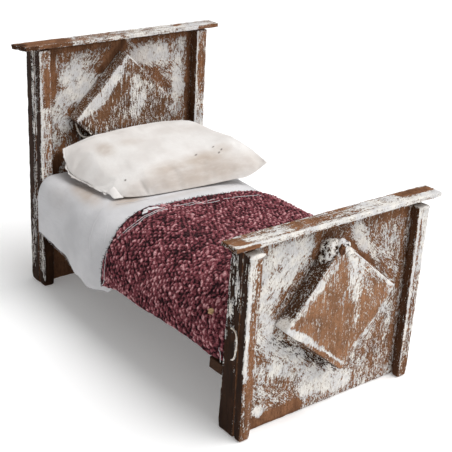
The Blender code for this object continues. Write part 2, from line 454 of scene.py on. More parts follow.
def brush_marks(s, along, streak):
    """Fine streaks and broad sweeps of the brush, turned to lean where the mesh says so."""
    long, thin = streak
    straight = s.even_noise(lengthwise(along, long, thin), 3.0, 0.6)
    sweep = s.even_noise(lengthwise(along, SWEEP * long, SWEEP * thin), 2.0, 0.55)
    if along == "z":
        for lean, tilt in (("lean_up", LEAN_UP), ("lean_down", LEAN_DOWN)):
            fine = s.even_noise((thin, thin, long), 3.0, 0.6, tilt=tilt)
            broad = s.even_noise((SWEEP * thin, SWEEP * thin, SWEEP * long), 2.0, 0.55, tilt=tilt)
            straight = s.between(s.stored(lean), straight, fine)
            sweep = s.between(s.stored(lean), sweep, broad)
    return straight, sweep


def bare_wood(s, wood, grain, pores):
    """Brown wood with its grain, pores and pits, nearly black where the mesh's grime attribute says so: soot
    on the wood, together with painted shade.
    """
    blotch = s.noise((7.0, 7.0, 11.0), 3.0, 0.6)
    pits = s.noise((0.8, 0.8, 1.3), 3.0, 0.7)
    bare = s.tint(wood[0], wood[1], grain, 0.35, 0.66)
    bare = s.tint(bare, wood[2], blotch, 0.42, 0.66, 0.6)
    bare = s.tint(bare, wood[2], pores, 0.5, 0.68, 0.6)
    bare = s.tint(bare, wood[3], pits, 0.56, 0.68, 0.75)
    sooted_and_shaded = s.tint(SOOT_AND_SHADE[0], SOOT_AND_SHADE[1], grain, 0.35, 0.7)
    sooted_and_shaded = s.tint(sooted_and_shaded, SOOT_AND_SHADE[2], blotch, 0.5, 0.72, 0.5)
    return s.mix(s.stored("grime"), bare, sooted_and_shaded)


def worn_paint(name, wood, along="z", streak=(2.8, 0.42), share=0.35):
    """Old white paint brushed over brown wood and rubbed off again.

    The mesh's cover attribute says how much paint is left, grime how dark the wood is, from soot and from
    painted shade, edge how near an edge is, and lean_up and lean_down which way the brush went where it
    wasn't along the board.  streak is the length and width of the brush marks in millimetres, and share is
    how much they count beside the flecks.
    """
    s = Surface(name)
    straight, sweep = brush_marks(s, along, streak)
    fleck = s.even_noise((0.68, 0.68, 0.86), 3.0, 0.75)
    patch = s.even_noise((5.0, 5.0, 7.0))
    mottle = s.weighted((straight, share), (fleck, 0.72 - share), (sweep, 0.17), (patch, 0.11))
    level = s.plus(s.times(s.stored("cover"), 0.98), s.times(s.stored("edge"), 0.14), -0.03)
    left = s.maths("SUBTRACT", level, s.ramp(mottle, 0.18, 0.82))
    paint = s.ramp(left, -CRISP, CRISP)
    veil = s.ramp(left, -WASH, 0.02)

    grain = s.noise(lengthwise(along, 20.0, 0.4), 4.0, 0.6, 0.4)
    pores = s.noise((0.32, 0.32, 0.8), 2.0, 0.6)
    bare = bare_wood(s, wood, grain, pores)
    white = s.tint(srgb(214, 213, 213), srgb(236, 232, 225), s.noise(7.0, 3.0, 0.6), 0.35, 0.65)
    white = s.tint(white, srgb(170, 160, 151), s.noise((0.45, 0.45, 1.6)), 0.45, 0.72, 0.5)
    thin_wash = s.times(veil, s.plus(0.42, s.times(s.stored("grime"), -0.42)))
    washed = s.mix(thin_wash, bare, srgb(190, 170, 150))
    relief = s.bump(s.weighted((grain, 0.35), (pores, 0.25)), 0.18, 0.6)
    layer = s.plus(paint, s.times(veil, 0.25), s.times(fleck, 0.15))
    return s.finished({
        "Base Color": s.mix(paint, washed, white),
        "Roughness": s.ramp(paint, 0.0, 1.0, 0.62, 0.82),
        "Specular IOR Level": 0.06,
        "Normal": s.bump(layer, 0.22, 0.9, relief),
    })


OAK = (srgb(158, 113, 82), srgb(124, 84, 58), srgb(82, 54, 38), srgb(46, 31, 23))
PALE_OAK = (srgb(170, 125, 93), srgb(144, 102, 73), srgb(106, 73, 51), srgb(62, 42, 31))
# Browns of wood darkened by soot, also used as painted shade
SOOT_AND_SHADE = (srgb(50, 29, 16), srgb(27, 16, 9), srgb(74, 46, 28))


# ---------------------------------------------------------------- paint layouts
# Per face, cover and grime are a base amount and strokes (x0, y0, x1, y1, half width, amount) on the face's
# own plane.  Faces that aren't listed have the board's base cover and no grime.  Grime is soot on the bare
# wood and also painted shade: the shadows of the diamond blocks, caps and stiles, the blocks' and caps'
# undersides, and the boards' parts under the bed.  lean_up and lean_down are strokes on the front that say
# where the brush leaned.

PAINT = {
    "footboard_panel": {
        "base": 0.2,
        "cover": {
            "front": (
                0.42, (-31, 80, -15, 81, 6.5, 0.5), (-33, 73, -18, 76, 8, 0.42),
                (-34, 63, -25, 68, 7, 0.45), (-35, 56, -31, 49, 5, 0.45), (-28, 77, -28, 70, 2.4, -0.3),
                (-32.5, 80, -33, 62, 1.3, -0.3), (-26, 60, -10, 75, 1.8, -0.16), (-9, 85, -8, 76, 4, -0.2),
                (-3, 84, 10, 83, 3, -0.2), (13, 82, 19, 73, 5, 0.5), (19, 73, 30, 65, 2.6, 0.3),
                (8, 78, 25, 63, 1.6, -0.6), (22, 84.5, 42, 83, 3, -0.3), (22, 76, 29, 80, 3.5, -0.14),
                (31, 76, 36, 60, 3.5, 0.16), (38, 82, 34, 64, 2, 0.12), (42.6, 86, 42.6, 8, 2, -0.2),
                (29, 62, 38, 53, 2.5, -0.14), (33, 30, 32, 12, 4, -0.14), (18, 19, 37, 41, 2.2, 0.24),
                (14, 3.5, 42, 5, 2.4, 0.1), (-8, 12, 14, 8, 7, 0.5), (-5, 18, 5, 14, 4, 0.3),
                (-36, 3.5, -14, 3, 5, -0.85), (-36, 12, -14, 9, 3.5, -0.1), (-35, 19, -24, 10, 0.9, 0.4),
                (-35.2, 9, -34, 7, 3.2, 1.2), (-36, 45, -28, 40, 4.5, 0.45), (-30, 36, -14, 28, 4.5, 0.4),
                (-35, 30, -26, 25, 4, 0.35), (-27, 27, -6, 18, 4.2, 0.36), (-36, 37, -33, 31, 2.6, -0.2),
                (-47.2, 56, -47.2, 0, 3, -0.7),
            ),
            "back": (
                0.42, (-30, 70, 20, 74, 12, 0.35), (10, 30, 40, 20, 12, 0.3), (-35, 20, -20, 30, 8, -0.3),
            ),
            "left": (
                -0.06, (-83, 74, -78, 56, 2.4, 0.34), (-77, 82, -76, 44, 1.5, 0.46),
                (-78.5, 62, -79.5, 50, 2.2, 0.3), (-83.7, 60, -80, 84, 1.6, 0.3),
                (-79, 51.5, -83, 50.5, 0.8, 0.5), (-81, 84, -81.4, 62, 0.9, 0.4),
                (-78.6, 84, -79, 70, 0.9, 0.45), (-82.6, 48, -82.4, 30, 0.9, 0.3),
                (-75, 34, -74.6, 12, 0.9, 0.4),
            ),
            "right": 0.3,
        },
        # Grime on the front is partly painted shadow: the diamond block's shadow at its upper left and below
        # its lower left edge, and the shade beside the right stile.
        "grime": {
            "front": (
                0.12, (-28, 54, -4, 78, 1.6, 0.45), (-29, 41, 8, 16, 3.2, 0.8),
                (44.6, 86, 44.6, 2, 1.8, 0.35), (-36, 0, 40, 0, 2, 0.4),
            ),
            "left": 1,
            "right": 0.5,
            "back": 0.2,
        },
        "lean_up": ((-34, 60, -12, 82, 10, 1), (-30, 53, -6, 78, 6, 1), (20, 20, 40, 42, 5, 0.9)),
        "lean_down": ((8, 84, 40, 54, 8, 1), (-36, 42, 6, 16, 9, 1), (-36, 18, -14, 6, 6, 0.9)),
    },
    "headboard_panel": {
        "base": 0.25,
        "cover": {
            "front": (
                0.36, (-38, 125, 2, 125, 3, -0.35), (-38.5, 122, -38, 103, 3.6, -0.5),
                (-28, 110, -18, 105, 8.5, 0.6), (-24, 118, -12, 117, 4.5, 0.3), (-33, 100, -23, 98, 6, 0.5),
                (-36, 92, -30, 85, 6, 0.45), (-37, 80, -35, 72, 3, 0.3), (-10, 113, 2, 123, 5, -0.42),
                (-27, 92, -26, 78, 4, -0.2), (-38, 62, -33, 73, 3.4, -0.7), (12, 117, 28, 117, 6, 0.65),
                (20, 112, 32, 112, 4, 0.4), (38, 119, 38, 84, 5, 0.4), (34, 104, 40, 96, 5, 0.25),
                (20, 108, 30, 98, 4, -0.14), (44.6, 126, 44.6, 70, 2, -0.34), (10, 125, 44, 125, 2.2, -0.3),
                (-45, 10, 45, 10, 34, -0.6),
            ),
            "back": (
                0.42, (-25, 100, 25, 108, 14, 0.35), (-30, 40, 10, 30, 14, 0.3), (30, 70, 38, 40, 9, -0.3),
            ),
            "left": (
                -0.06, (85.4, 126, 85.4, 84, 1.6, 0.62), (85, 84, 86, 52, 1.6, 0.38),
                (92, 126, 92, 4, 0.9, 1), (86, 48, 90, 10, 3.6, 0.46),
            ),
            "right": 0.3,
        },
        # Grime on the front is mostly painted shade: the shadow under the cap, the diamond block's shadow at
        # its upper left and below its left corner, the shade beside the right stile and the dark lower part
        # under the bed.
        "grime": {
            "front": (
                0.1, (-28, 92, 3, 124, 2.4, 0.4), (-28, 86, 0, 60, 4, 0.6), (45.6, 126, 45.6, 60, 1.6, 0.3),
                (-48, 126.5, 48, 126.5, 2, 0.5), (-45, 8, 45, 8, 30, 0.4), (-38, 60, -35, 68, 5, 0.6),
            ),
            "left": 1,
            "right": 0.5,
            "back": 0.2,
        },
        "lean_up": ((-34, 96, -8, 120, 10, 1), (-24, 92, 0, 120, 5, 1)),
        "lean_down": ((10, 122, 40, 100, 8, 1),),
    },
    "footboard_stile_left": {
        "base": 0.12,
        "cover": {
            "front": (
                0.1, (-47, 85, -46.8, 30, 1.5, 0.85), (-45, 85, -44.8, 66, 1.4, 0.6),
                (-44.6, 60, -44.2, 44, 0.8, 0.35), (-42.9, 80, -42.4, 30, 0.5, 0.35),
                (-46.6, 30, -46.4, 12, 0.8, 0.3),
            ),
            "top": 0.95,
            "left": (
                -0.08, (-88.5, 84, -88.5, 34, 0.8, 0.55), (-86.5, 82, -86.2, 74, 0.8, 0.5),
                (-86, 70, -85, 58, 1.2, 0.2),
            ),
        },
        "grime": {
            "left": 1,
            "front": (0.1, (-47.5, 22, -47.5, 0, 3, 0.3)),
            "right": 0.6,
        },
    },
    "footboard_stile_right": {
        "base": 0.1,
        "cover": {
            "front": (
                0.46, (50.2, 85, 50.2, 56, 2.6, 0.42), (46.6, 84, 46.6, 20, 0.8, 0.5),
                (48.4, 76, 48.2, 60, 0.7, -0.4), (49, 44, 49, 16, 3.4, -0.05), (49.5, 8, 50, 2, 4.5, -0.4),
            ),
            "top": 0.8,
            "right": 0.55,
            "left": 0.02,
        },
        # Its inner left face is dark bare wood together with painted shade.
        "grime": {"left": 0.75, "front": 0.15},
    },
    "headboard_stile_left": {
        "base": 0.12,
        "cover": {
            "front": (
                0.34, (-47.2, 126, -47.2, 60, 0.9, 0.45), (-44, 116, -43.4, 100, 2.4, -0.35),
                (-45, 96, -44, 62, 3, 0.3), (-44.6, 46, -44.6, 0, 6, -0.5), (-47.6, 46, -47.6, 4, 0.9, 0.5),
            ),
            "left": (
                -0.06, (83.2, 126, 83.2, 84, 1.4, 0.6), (80.5, 126, 81, 96, 1.6, 0.25),
                (80.5, 46, 81, 10, 2.5, 0.4), (78.9, 78, 78.9, 6, 1.3, 0.4),
            ),
        },
        # The front's lower part, under the bed, is darkened as painted shade.
        "grime": {
            "left": 1,
            "front": (0.08, (-44.6, 48, -44.6, 0, 8, 1)),
            "right": 0.8,
        },
    },
    "headboard_stile_right": {
        "base": 0.1,
        "cover": {
            "front": (
                0.3, (46.2, 126, 46.2, 60, 0.9, 0.75), (49, 116, 49, 98, 3, -0.2),
                (49, 90, 49, 66, 3.6, 0.4),
            ),
            "right": 0.5,
            "left": 0.03,
        },
        # Its inner left face is dark bare wood together with painted shade.
        "grime": {"left": 0.7, "front": 0.12},
    },
    "footboard_diamond": {
        "base": 0.1,
        "cover": {
            "front": (
                0.13, (-31, 50, -17, 41.5, 2.5, 0.95), (-17, 41.5, -8, 34, 1.5, 0.85),
                (-8, 34, 5, 23, 0.8, 0.85), (-26, 53, -13, 65, 3.4, 0.44), (-13, 65, -2, 77, 3.8, 0.42),
                (-20, 56, -6, 68, 5, 0.12), (-4, 66, 2, 73, 3, 0.2), (4, 76, 5, 64, 3.8, 0.55),
                (8, 70, 8, 56, 5.2, 0.5), (9, 56, 10, 45, 3, 0.28), (10, 44, 11, 31, 1.8, 0.2),
                (12, 70, 28, 58, 4.6, 0.38), (12, 64, 17, 54, 3.4, 0.24), (1, 62, 2, 46, 1.6, 0.12),
                (14, 56, 30, 48, 8, 0.1), (1, 81, 33, 53.5, 1.2, 0.9), (28, 55, 33, 50, 3.4, 0.35),
                (12, 31, 21, 38.5, 2.6, 0.5), (21, 38.5, 31, 49, 2.6, 0.3), (4, 23, 12, 31, 1.4, 0.3),
            ),
            "left": (0.21, (-88, 49.5, -97, 49.5, 5, 0.9)),
            "bottom": (0, (-32, -92, -26, -92, 5.5, 0.8)),
        },
        # The block's underside and the band along its upper left edge are darkened as painted shade, and its
        # upper left side is dark bare wood together with painted shade.
        "grime": {
            "front": (0.06, (-26, 58, -4, 80, 1.6, 0.3), (-10, 44, 10, 36, 7, 0.12)),
            "left": (0.85, (-88, 49.5, -97, 49.5, 4.5, -0.6)),
            "bottom": (0.95, (-32, -92, -26, -92, 5, -0.5)),
        },
        "lean_up": ((-26, 54, -4, 78, 3, 0.7), (9, 27, 31, 49, 4, 1)),
        "lean_down": ((8, 74, 30, 56, 5, 1), (14, 66, 18, 44, 7, 0.5)),
    },
    "headboard_diamond": {
        "base": 0.1,
        "cover": {
            "front": (
                0.3, (-27, 92.5, -14, 99.5, 4.2, 1.1), (-14, 99.5, -4, 112, 3.4, 1.1),
                (-4, 112, 0.5, 118, 1.6, 0.5), (-16, 88, -2, 104, 4.2, -0.2), (-3, 112, -3, 90, 2, 0.12),
                (6, 106, 6, 90, 4.6, 0.45), (11, 104, 11, 92, 2.6, 0.3), (15, 102, 15, 88, 3, 0.08),
                (24, 96, 28, 89, 5, 0.05), (1, 120.5, 23, 101, 1.3, 0.95), (28, 84, 31, 90, 2, 0.4),
            ),
            "left": 0.24,
        },
        # The block's underside is darkened as painted shade, and so is the spot under its left corner by the
        # glue strings.
        "grime": {
            "front": (0.5, (-28, 88, -16, 78, 3, 0.3), (0, 92, 30, 88, 8, 0.15)),
            "left": 0.6,
            "bottom": 0.95,
        },
    },
    "footboard_cap": {
        "base": 0.3,
        "cover": {
            "top": (
                0.36, (-47, -85, -32, -86, 2.6, 0.55), (-30, -83, -26, -87, 2.5, 0.35),
                (-54, -89.6, 57, -89.6, 1.7, 0.6), (-56, -83, -51, -85, 4, -0.35),
                (-22, -83.5, -9, -84, 3.6, -0.22), (-2, -84, 12, -86, 4, 0.15), (17, -85, 33, -85, 6, 0.46),
                (39, -82.5, 54, -83.5, 3, -0.9), (36, -88, 57, -88, 2.5, 0.5),
            ),
            "front": (0.78, (-56, 90, -46, 90, 3, -0.9), (-30, 89, -5, 89, 1.2, -0.4)),
            "left": 0.1,
        },
        # The cap's underside is darkened as painted shade.
        "grime": {
            "left": 0.8,
            "bottom": 0.7,
            "top": (0, (39, -82.5, 52, -83.5, 3, 0.3)),
        },
    },
    "headboard_cap": {
        "base": 0.3,
        "cover": {
            "top": (
                0.5, (-59, 82, -34, 82, 7, -0.55), (-32, 81, -4, 81, 7, -0.1), (4, 82, 58, 82, 6.5, 0.16),
                (20, 79.5, 50, 79.5, 1.2, 0.3), (38, 84, 34, 82, 2, -0.5),
            ),
            "front": (
                0.55, (-59, 129, -32, 129, 3, -0.6), (-28, 129, 0, 129, 3, -0.1),
                (47, 129, 58, 129, 2.4, -0.6), (2, 129, 44, 129, 2.5, 0.2),
            ),
            "left": 0,
        },
        # The cap's underside is darkened as painted shade.
        "grime": {
            "left": 0.9,
            "bottom": 0.7,
            "front": (0.1, (-59, 129, -50, 129, 3, 0.6)),
            "top": (0.05, (-60, 80, -55, 82, 3.5, 0.8)),
        },
    },
}

# The base board and battens are dark on every face: dark wood together with painted shade under the bed.
BASE_PAINT = {"base": -0.15, "cover": {}, "grime": dict.fromkeys(FACES, 0.9)}


def sloped_back(toe_depth, top_depth):
    """Reshape for a panel whose back leans: deeper at the toe than at the top."""
    def move(points, low, high):
        share = (points[:, 1] - low[1]) / (high[1] - low[1])
        height = np.clip((points[:, 2] - low[2]) / (high[2] - low[2]), 0, 1)
        depth = toe_depth + (top_depth - toe_depth) * height
        moved = points.copy()
        moved[:, 1] = low[1] + share * depth
        return moved
    return move


def snapped_end(points, low, high):
    """Reshape for the cap whose left end is broken off at a slant, with splinters."""
    back = np.clip((points[:, 1] - low[1]) / (high[1] - low[1]), 0, 1)
    grain = np.stack((points[:, 1] * 3, points[:, 2] * 2, points[:, 2] * 0), axis=1)
    end = low[0] + 3.4 * (1 - back) ** 1.4 + 0.7 * smooth_noise(grain, 2.0, 77) + 0.5
    moved = points.copy()
    moved[:, 0] = np.maximum(points[:, 0], end)
    return moved


def narrow_toe(change):
    """Reshape for a strip that loses width on its right side towards the toe."""
    def move(points, low, high):
        share = (points[:, 0] - low[0]) / (high[0] - low[0])
        height = np.clip((points[:, 2] - low[2]) / (high[2] - low[2]), 0, 1)
        moved = points.copy()
        moved[:, 0] -= change * share * (1 - height)
        return moved
    return move


def finish(piece, material, body="bed", node=None):
    """Give a piece its material and body, and hide the CAD node that it stands for."""
    piece.data.materials.clear()
    piece.data.materials.append(material)
    if node:
        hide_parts(node)
    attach(piece, body)


def end_boards():
    """The footboard and the headboard, each of a panel, two stiles, a diamond block and a cap."""
    paint = {
        "panel": worn_paint("panel_worn_paint", OAK),
        "stile": worn_paint("stile_worn_paint", OAK),
        "cap": worn_paint("cap_worn_paint", OAK, along="x"),
        "diamond": worn_paint("diamond_worn_paint", PALE_OAK, streak=(3.4, 0.38), share=0.38),
    }

    def board(node, low, high, *shape, **others):
        piece = worn_board(node + "_worn", low, high, PAINT[node], *shape, **others)
        kind = node.split("_")[1]
        finish(piece, paint[kind], node=node)

    for end, (seed, depths, toe_loss, side, depth, degrees) in END_BOARDS.items():
        low, high = cad_box(end + "_panel")
        high[2] += PANEL_TENON
        board(end + "_panel", low, high, 0.55, seed, sloped_back(*depths), toe_round=2.5)
        for node in (end + "_stile_left", end + "_stile_right"):
            board(node, *cad_box(node), 0.6, seed + 10, narrow_toe(toe_loss), toe_round=2.5, spacing=0.8)
        reshape = snapped_end if end == "headboard" else None
        board(end + "_cap", *cad_box(end + "_cap"), 0.45, seed + 20, reshape, spacing=0.8)
        half = np.array((side, depth, side)) / 2
        centre = sum(cad_box(end + "_diamond")) / 2
        board(end + "_diamond", -half, half, 0.8, seed + 30, turn=(degrees, centre), spacing=0.9)
    paint_lumps(paint["panel"])
    glue_strings()


# Centre, size, seed and how white: clots of dried paint above the footboard's diamond block
PAINT_LUMPS = (
    ((-4.6, -88.0, 78.0), (4.8, 3.8, 4.6), 90, 0.66),
    ((-0.4, -90.2, 79.2), (3.4, 3.0, 3.2), 91, 0.8),
    ((-2.4, -92.0, 79.0), (1.5, 1.4, 2.4), 94, -0.3),
    ((2.0, -91.6, 76.8), (2.2, 2.0, 2.0), 92, 0.75),
    ((-6.6, -87.4, 73.8), (2.8, 2.8, 2.6), 93, 0.7),
)
# The same for the lips of paint on the footboard's two stiles
STILE_LIPS = (
    ((-44.3, -88.9, 85.2), (4.0, 0.75, 1.1), 95, 1.2),
    ((49.2, -88.9, 85.2), (3.0, 0.6, 0.9), 96, 1.0),
)
# Paths of the glue strings by the headboard's diamond block, and of the scar on the footboard's left side
GLUE_STRINGS = (
    ((-26.6, 82.8, 89.5), (-26.2, 82.0, 87.0), (-25.9, 80.6, 83.6), (-24.6, 79.2, 80.2), (-22.2, 78.2, 79.2),
     (-20.0, 77.4, 79.6)),
    ((-27.4, 80.6, 88.6), (-25.4, 78.4, 86.4), (-23.4, 76.4, 84.4), (-20.8, 75.4, 81.4)),
)
SCAR = (
    (-47.9, -79.6, 50.6), (-48.2, -81.6, 50.9), (-48.3, -83.4, 49.2), (-48.3, -83.9, 45.0),
    (-48.2, -83.3, 40.4), (-48.1, -82.0, 37.4), (-47.9, -80.4, 36.2),
)


def paint_lumps(material):
    """Dried clots of paint and glue on the end boards."""
    shapes, cover, grime = [], [], []
    for centre, size, seed, white in PAINT_LUMPS + STILE_LIPS:
        patchy = white < 1
        points, faces, height = lump_shape(centre, size, seed, 0.3 if patchy else 0.16)
        shapes.append((points, faces))
        cover.append(white + 0.7 * height * patchy)
        grime.append(np.clip(0.75 - 1.2 * height, 0, 1))
    points, faces = joined(shapes)
    piece = new_object("paint_clots", points, faces)
    unworn = np.zeros(len(points))
    give_attributes(piece, cover=np.concatenate(cover), grime=np.concatenate(grime), edge=unworn)
    finish(piece, material)


def glue_strings():
    """Strings of dried glue by the headboard's diamond block, and the pale rim of the footboard's scar."""
    shapes = [tube_shape(catmull(path, 8), 0.42) for path in GLUE_STRINGS]
    shapes.append(tube_shape(catmull(SCAR, 8), 0.36))
    points, faces = joined(shapes)
    wobble = np.stack([smooth_noise(points, 1.6, seed) for seed in (101, 102, 103)], axis=1)
    piece = new_object("glue_strings", points + 0.18 * wobble, faces)
    s = Surface("dried_glue")
    colour = s.tint(srgb(242, 237, 230), srgb(202, 188, 170), s.noise(1.2, 3.0, 0.6), 0.35, 0.65)
    finish(piece, s.finished({"Base Color": colour, "Roughness": 0.55}))


# ---------------------------------------------------------------- bedding

# The outside of the bed sheet across the bed, by key places along it:
# y: (left wall x, left round's width, height and power, top z, right round's width and height)
BED_SHAPE = {
    -75: (-46.6, 24, 24, 1.95, 61.0, 55, 17),
    -64: (-49.9, 27, 25, 1.95, 61.4, 58, 17),
    -30: (-50.2, 27, 26, 1.95, 61.9, 60, 17),
    14: (-50.4, 27, 26, 1.95, 62.3, 60, 17),
    34: (-50.6, 20, 22, 2.0, 62.2, 55, 16),
    58: (-50.9, 12, 16, 2.2, 62.4, 45, 14),
    77.5: (-51.0, 9, 13, 2.3, 62.9, 30, 12),
}
RIGHT_WALL = 53.4
RIGHT_POWER = 2.5
FLOOR_END = 10.0                # the outline is followed down to this height
CORNER_POINTS = 60
CROSS_REACH = 100.0
CROSS_STEP = 0.5
LENGTH_STEP = 2.0


def quarter(width, height, power):
    """Points of a rounded corner, from its wall end to its top end, as shares of width and height."""
    turn = np.linspace(0, pi / 2, CORNER_POINTS)
    return width * (1 - np.cos(turn) ** (2 / power)), height * np.sin(turn) ** (2 / power)


def bed_outline(y):
    """Distances across the bed, measured over its top from x = 0, with their x and z."""
    places = sorted(BED_SHAPE)
    shape = [along_keys([(p, BED_SHAPE[p][k]) for p in places], np.array([y]))[0] for k in range(7)]
    left, left_wide, left_high, left_power, top, right_wide, right_high = shape
    out, up = quarter(left_wide, left_high, left_power)
    x_left, z_left = left + out, top - left_high + up
    out, up = quarter(right_wide, right_high, RIGHT_POWER)
    x_right, z_right = (RIGHT_WALL - out)[::-1], (top - right_high + up)[::-1]
    x = np.concatenate(([left], x_left, x_right, [RIGHT_WALL]))
    z = np.concatenate(([FLOOR_END], z_left, z_right, [FLOOR_END]))
    run = np.concatenate(([0], np.cumsum(np.hypot(np.diff(x), np.diff(z)))))
    middle = np.interp(0, x[1:-1], run[1:-1])
    return run - middle, x, z


class Drape:
    """The bed's outside as a surface of (distance across, distance along), for laying cloth on it."""

    def __init__(self):
        self.across = np.arange(-CROSS_REACH, CROSS_REACH + CROSS_STEP, CROSS_STEP)
        self.along = np.arange(-76.0, 79.0 + LENGTH_STEP, LENGTH_STEP)
        rows = [bed_outline(y) for y in self.along]
        self.x = np.array([np.interp(self.across, run, x) for run, x, _ in rows])
        self.z = np.array([np.interp(self.across, run, z) for run, _, z in rows])
        slope_x, slope_z = np.gradient(self.x, axis=1), np.gradient(self.z, axis=1)
        length = np.hypot(slope_x, slope_z)
        length[length < 1e-6] = 1
        self.out_x, self.out_z = -slope_z / length, slope_x / length

    def read(self, table, across, along):
        u = np.clip((across - self.across[0]) / CROSS_STEP, 0, len(self.across) - 1.001)
        v = np.clip((along - self.along[0]) / LENGTH_STEP, 0, len(self.along) - 1.001)
        i, j = u.astype(int), v.astype(int)
        u, v = u - i, v - j
        near = table[j, i] * (1 - u) + table[j, i + 1] * u
        far = table[j + 1, i] * (1 - u) + table[j + 1, i + 1] * u
        return near * (1 - v) + far * v

    def point(self, across, along, lift):
        """Points lift above the bed's outside."""
        x = self.read(self.x, across, along) + lift * self.read(self.out_x, across, along)
        z = self.read(self.z, across, along) + lift * self.read(self.out_z, across, along)
        return np.stack((x, along, z), axis=-1)

    def hem(self, side, keys, along):
        """How far across the bed a side's hem lies at places along it, from its heights in keys."""
        found = []
        part = self.across * side > 0
        for row, height in zip(self.z[:, part], along_keys(keys, self.along)):
            order = np.argsort(row)
            found.append(np.interp(height, row[order], self.across[part][order]))
        return np.interp(along, self.along, found)

    def find(self, kind, place, y):
        """Distance across the bed of places (x, y) on its top, or (z, y) on its left side."""
        row = np.interp(y, self.along, np.arange(len(self.along))).astype(int)
        table, part = (self.x, slice(None)) if kind == "top" else (self.z, self.across < -20)
        return np.array([np.interp(a, table[r][part], self.across[part]) for a, r in zip(place, row)])


def thick_cloth(name, outer, inner, across, along, **values):
    """A closed piece of cloth from two grids of points, joined round their rims.

    across and along are where each point lies on the flat cloth, and values are its material's other numbers.
    """
    number = np.arange(outer[..., 0].size).reshape(outer.shape[:2])
    top = grid_quads(number.T)
    rim = np.concatenate((number[0, :-1], number[:-1, -1], number[-1, :0:-1], number[:0:-1, 0]))
    following = np.roll(rim, -1)
    sides = np.stack((following, rim, rim + number.size, following + number.size), axis=1)
    points = np.concatenate((outer.reshape(-1, 3), inner.reshape(-1, 3)))
    piece = new_object(name, points, np.concatenate((top, top[:, ::-1] + number.size, sides)))
    give_attributes(piece, 2, across=across, along=along, **values)
    return piece


def cotton(name, light, shade):
    """Plain woven cotton: fine crossing threads, and the stains, specks and grey that its mesh stores.  The
    grey is painted shade on the sheet's sides, and the stains include painted shadow beside the pillow and
    painted shade on the pillow's front face.
    """
    s = Surface(name)
    wobble = s.noise(3.0)
    places = [s.times(s.stored(way), 2 * pi / THREAD_STEP) for way in ("across", "along")]
    waves = [s.maths("SINE", s.plus(place, wobble)) for place in places]
    weave = s.times(s.plus(s.times(*waves), 1.0), 0.5)
    slub = s.noise((7.0, 0.4, 0.4), 3.0, 0.65)
    cross_slub = s.noise((0.4, 7.0, 0.8), 3.0, 0.65)
    colour = s.tint(light, shade, s.noise(14.0, 3.0), 0.35, 0.68)
    colour = s.tint(colour, shade, slub, 0.42, 0.72, 0.4)
    colour = s.tint(colour, shade, cross_slub, 0.45, 0.75, 0.5)
    colour = s.mix(s.times(weave, 0.14), colour, srgb(150, 146, 142))
    # tan stains, which also paint the pillow's shadow on the sheet beside it and the shade on the pillow's
    # front face
    uneven = s.ramp(s.noise((9.0, 3.0, 3.0), 4.0, 0.6), 0.2, 0.62, 0.425, 0.85)
    colour = s.mix(s.times(s.stored("stain"), uneven), colour, srgb(178, 160, 143))
    colour = s.mix(s.stored("speck"), colour, srgb(70, 52, 44))
    # painted shade: the sheet greyed where it turns down over the bed's sides
    colour = s.mix(s.times(s.stored("grey"), 0.3), colour, srgb(146, 148, 152))
    low = s.bump(s.noise(3.2, 3.0, 0.55), 0.35, 0.5)
    threads = s.weighted((weave, 0.6), (slub, 0.6), (cross_slub, 0.4))
    return s.finished({
        "Base Color": colour,
        "Roughness": 0.92,
        "Specular IOR Level": 0.12,
        "Sheen Weight": 0.15,
        "Sheen Roughness": 0.5,
        "Normal": s.bump(threads, 0.09, 0.8, low),
    })


# Place across and along, half lengths and strength of the brown marks on the sheet beside and under the
# pillow's
# edges: partly stains, partly the pillow's shadow painted on the sheet
SHEET_STAINS_AND_SHADOW = ((-39, 50, 7, 16, 1.0), (-27, 31, 12, 6, 1.0), (8, 24.0, 38, 3.6, 0.35), (-50, 60, 9, 14, 0.2))


def sheet_folds(across, along):
    """How far the hanging cloth swings out at each place: soft folds that grow towards the hem."""
    hang = smoothstep(42, 78, np.abs(across))
    wave = flat_noise(0.25 * across, along, 17.0, 3)
    small = flat_noise(0.5 * across, along, 6.5, 5)
    crease = np.exp(-((along - 27 + 0.12 * (across + 50)) / 3.2) ** 2) * smoothstep(-30, -60, across)
    return hang * (0.9 * wave + 0.35 * small) + 0.5 * crease + 0.12 * small * (1 - hang)


def sheet_marks(across, along):
    """How stained the sheet is at each place, partly with the pillow's painted shadow, and how much
    painted shade greys it where it turns down over the sides.
    """
    stain = np.zeros(across.shape)
    for x, y, wide, long, amount in SHEET_STAINS_AND_SHADOW:
        distance = np.hypot((across - x) / wide, (along - y) / long)
        stain = np.maximum(stain, amount * smoothstep(1.2, 0.1, distance))
    # painted shade on the sides: greyest just past the top's edge, less towards the hem
    out = np.abs(across)
    return stain, smoothstep(34, 52, out) * (1 - 0.6 * smoothstep(62, 88, out))


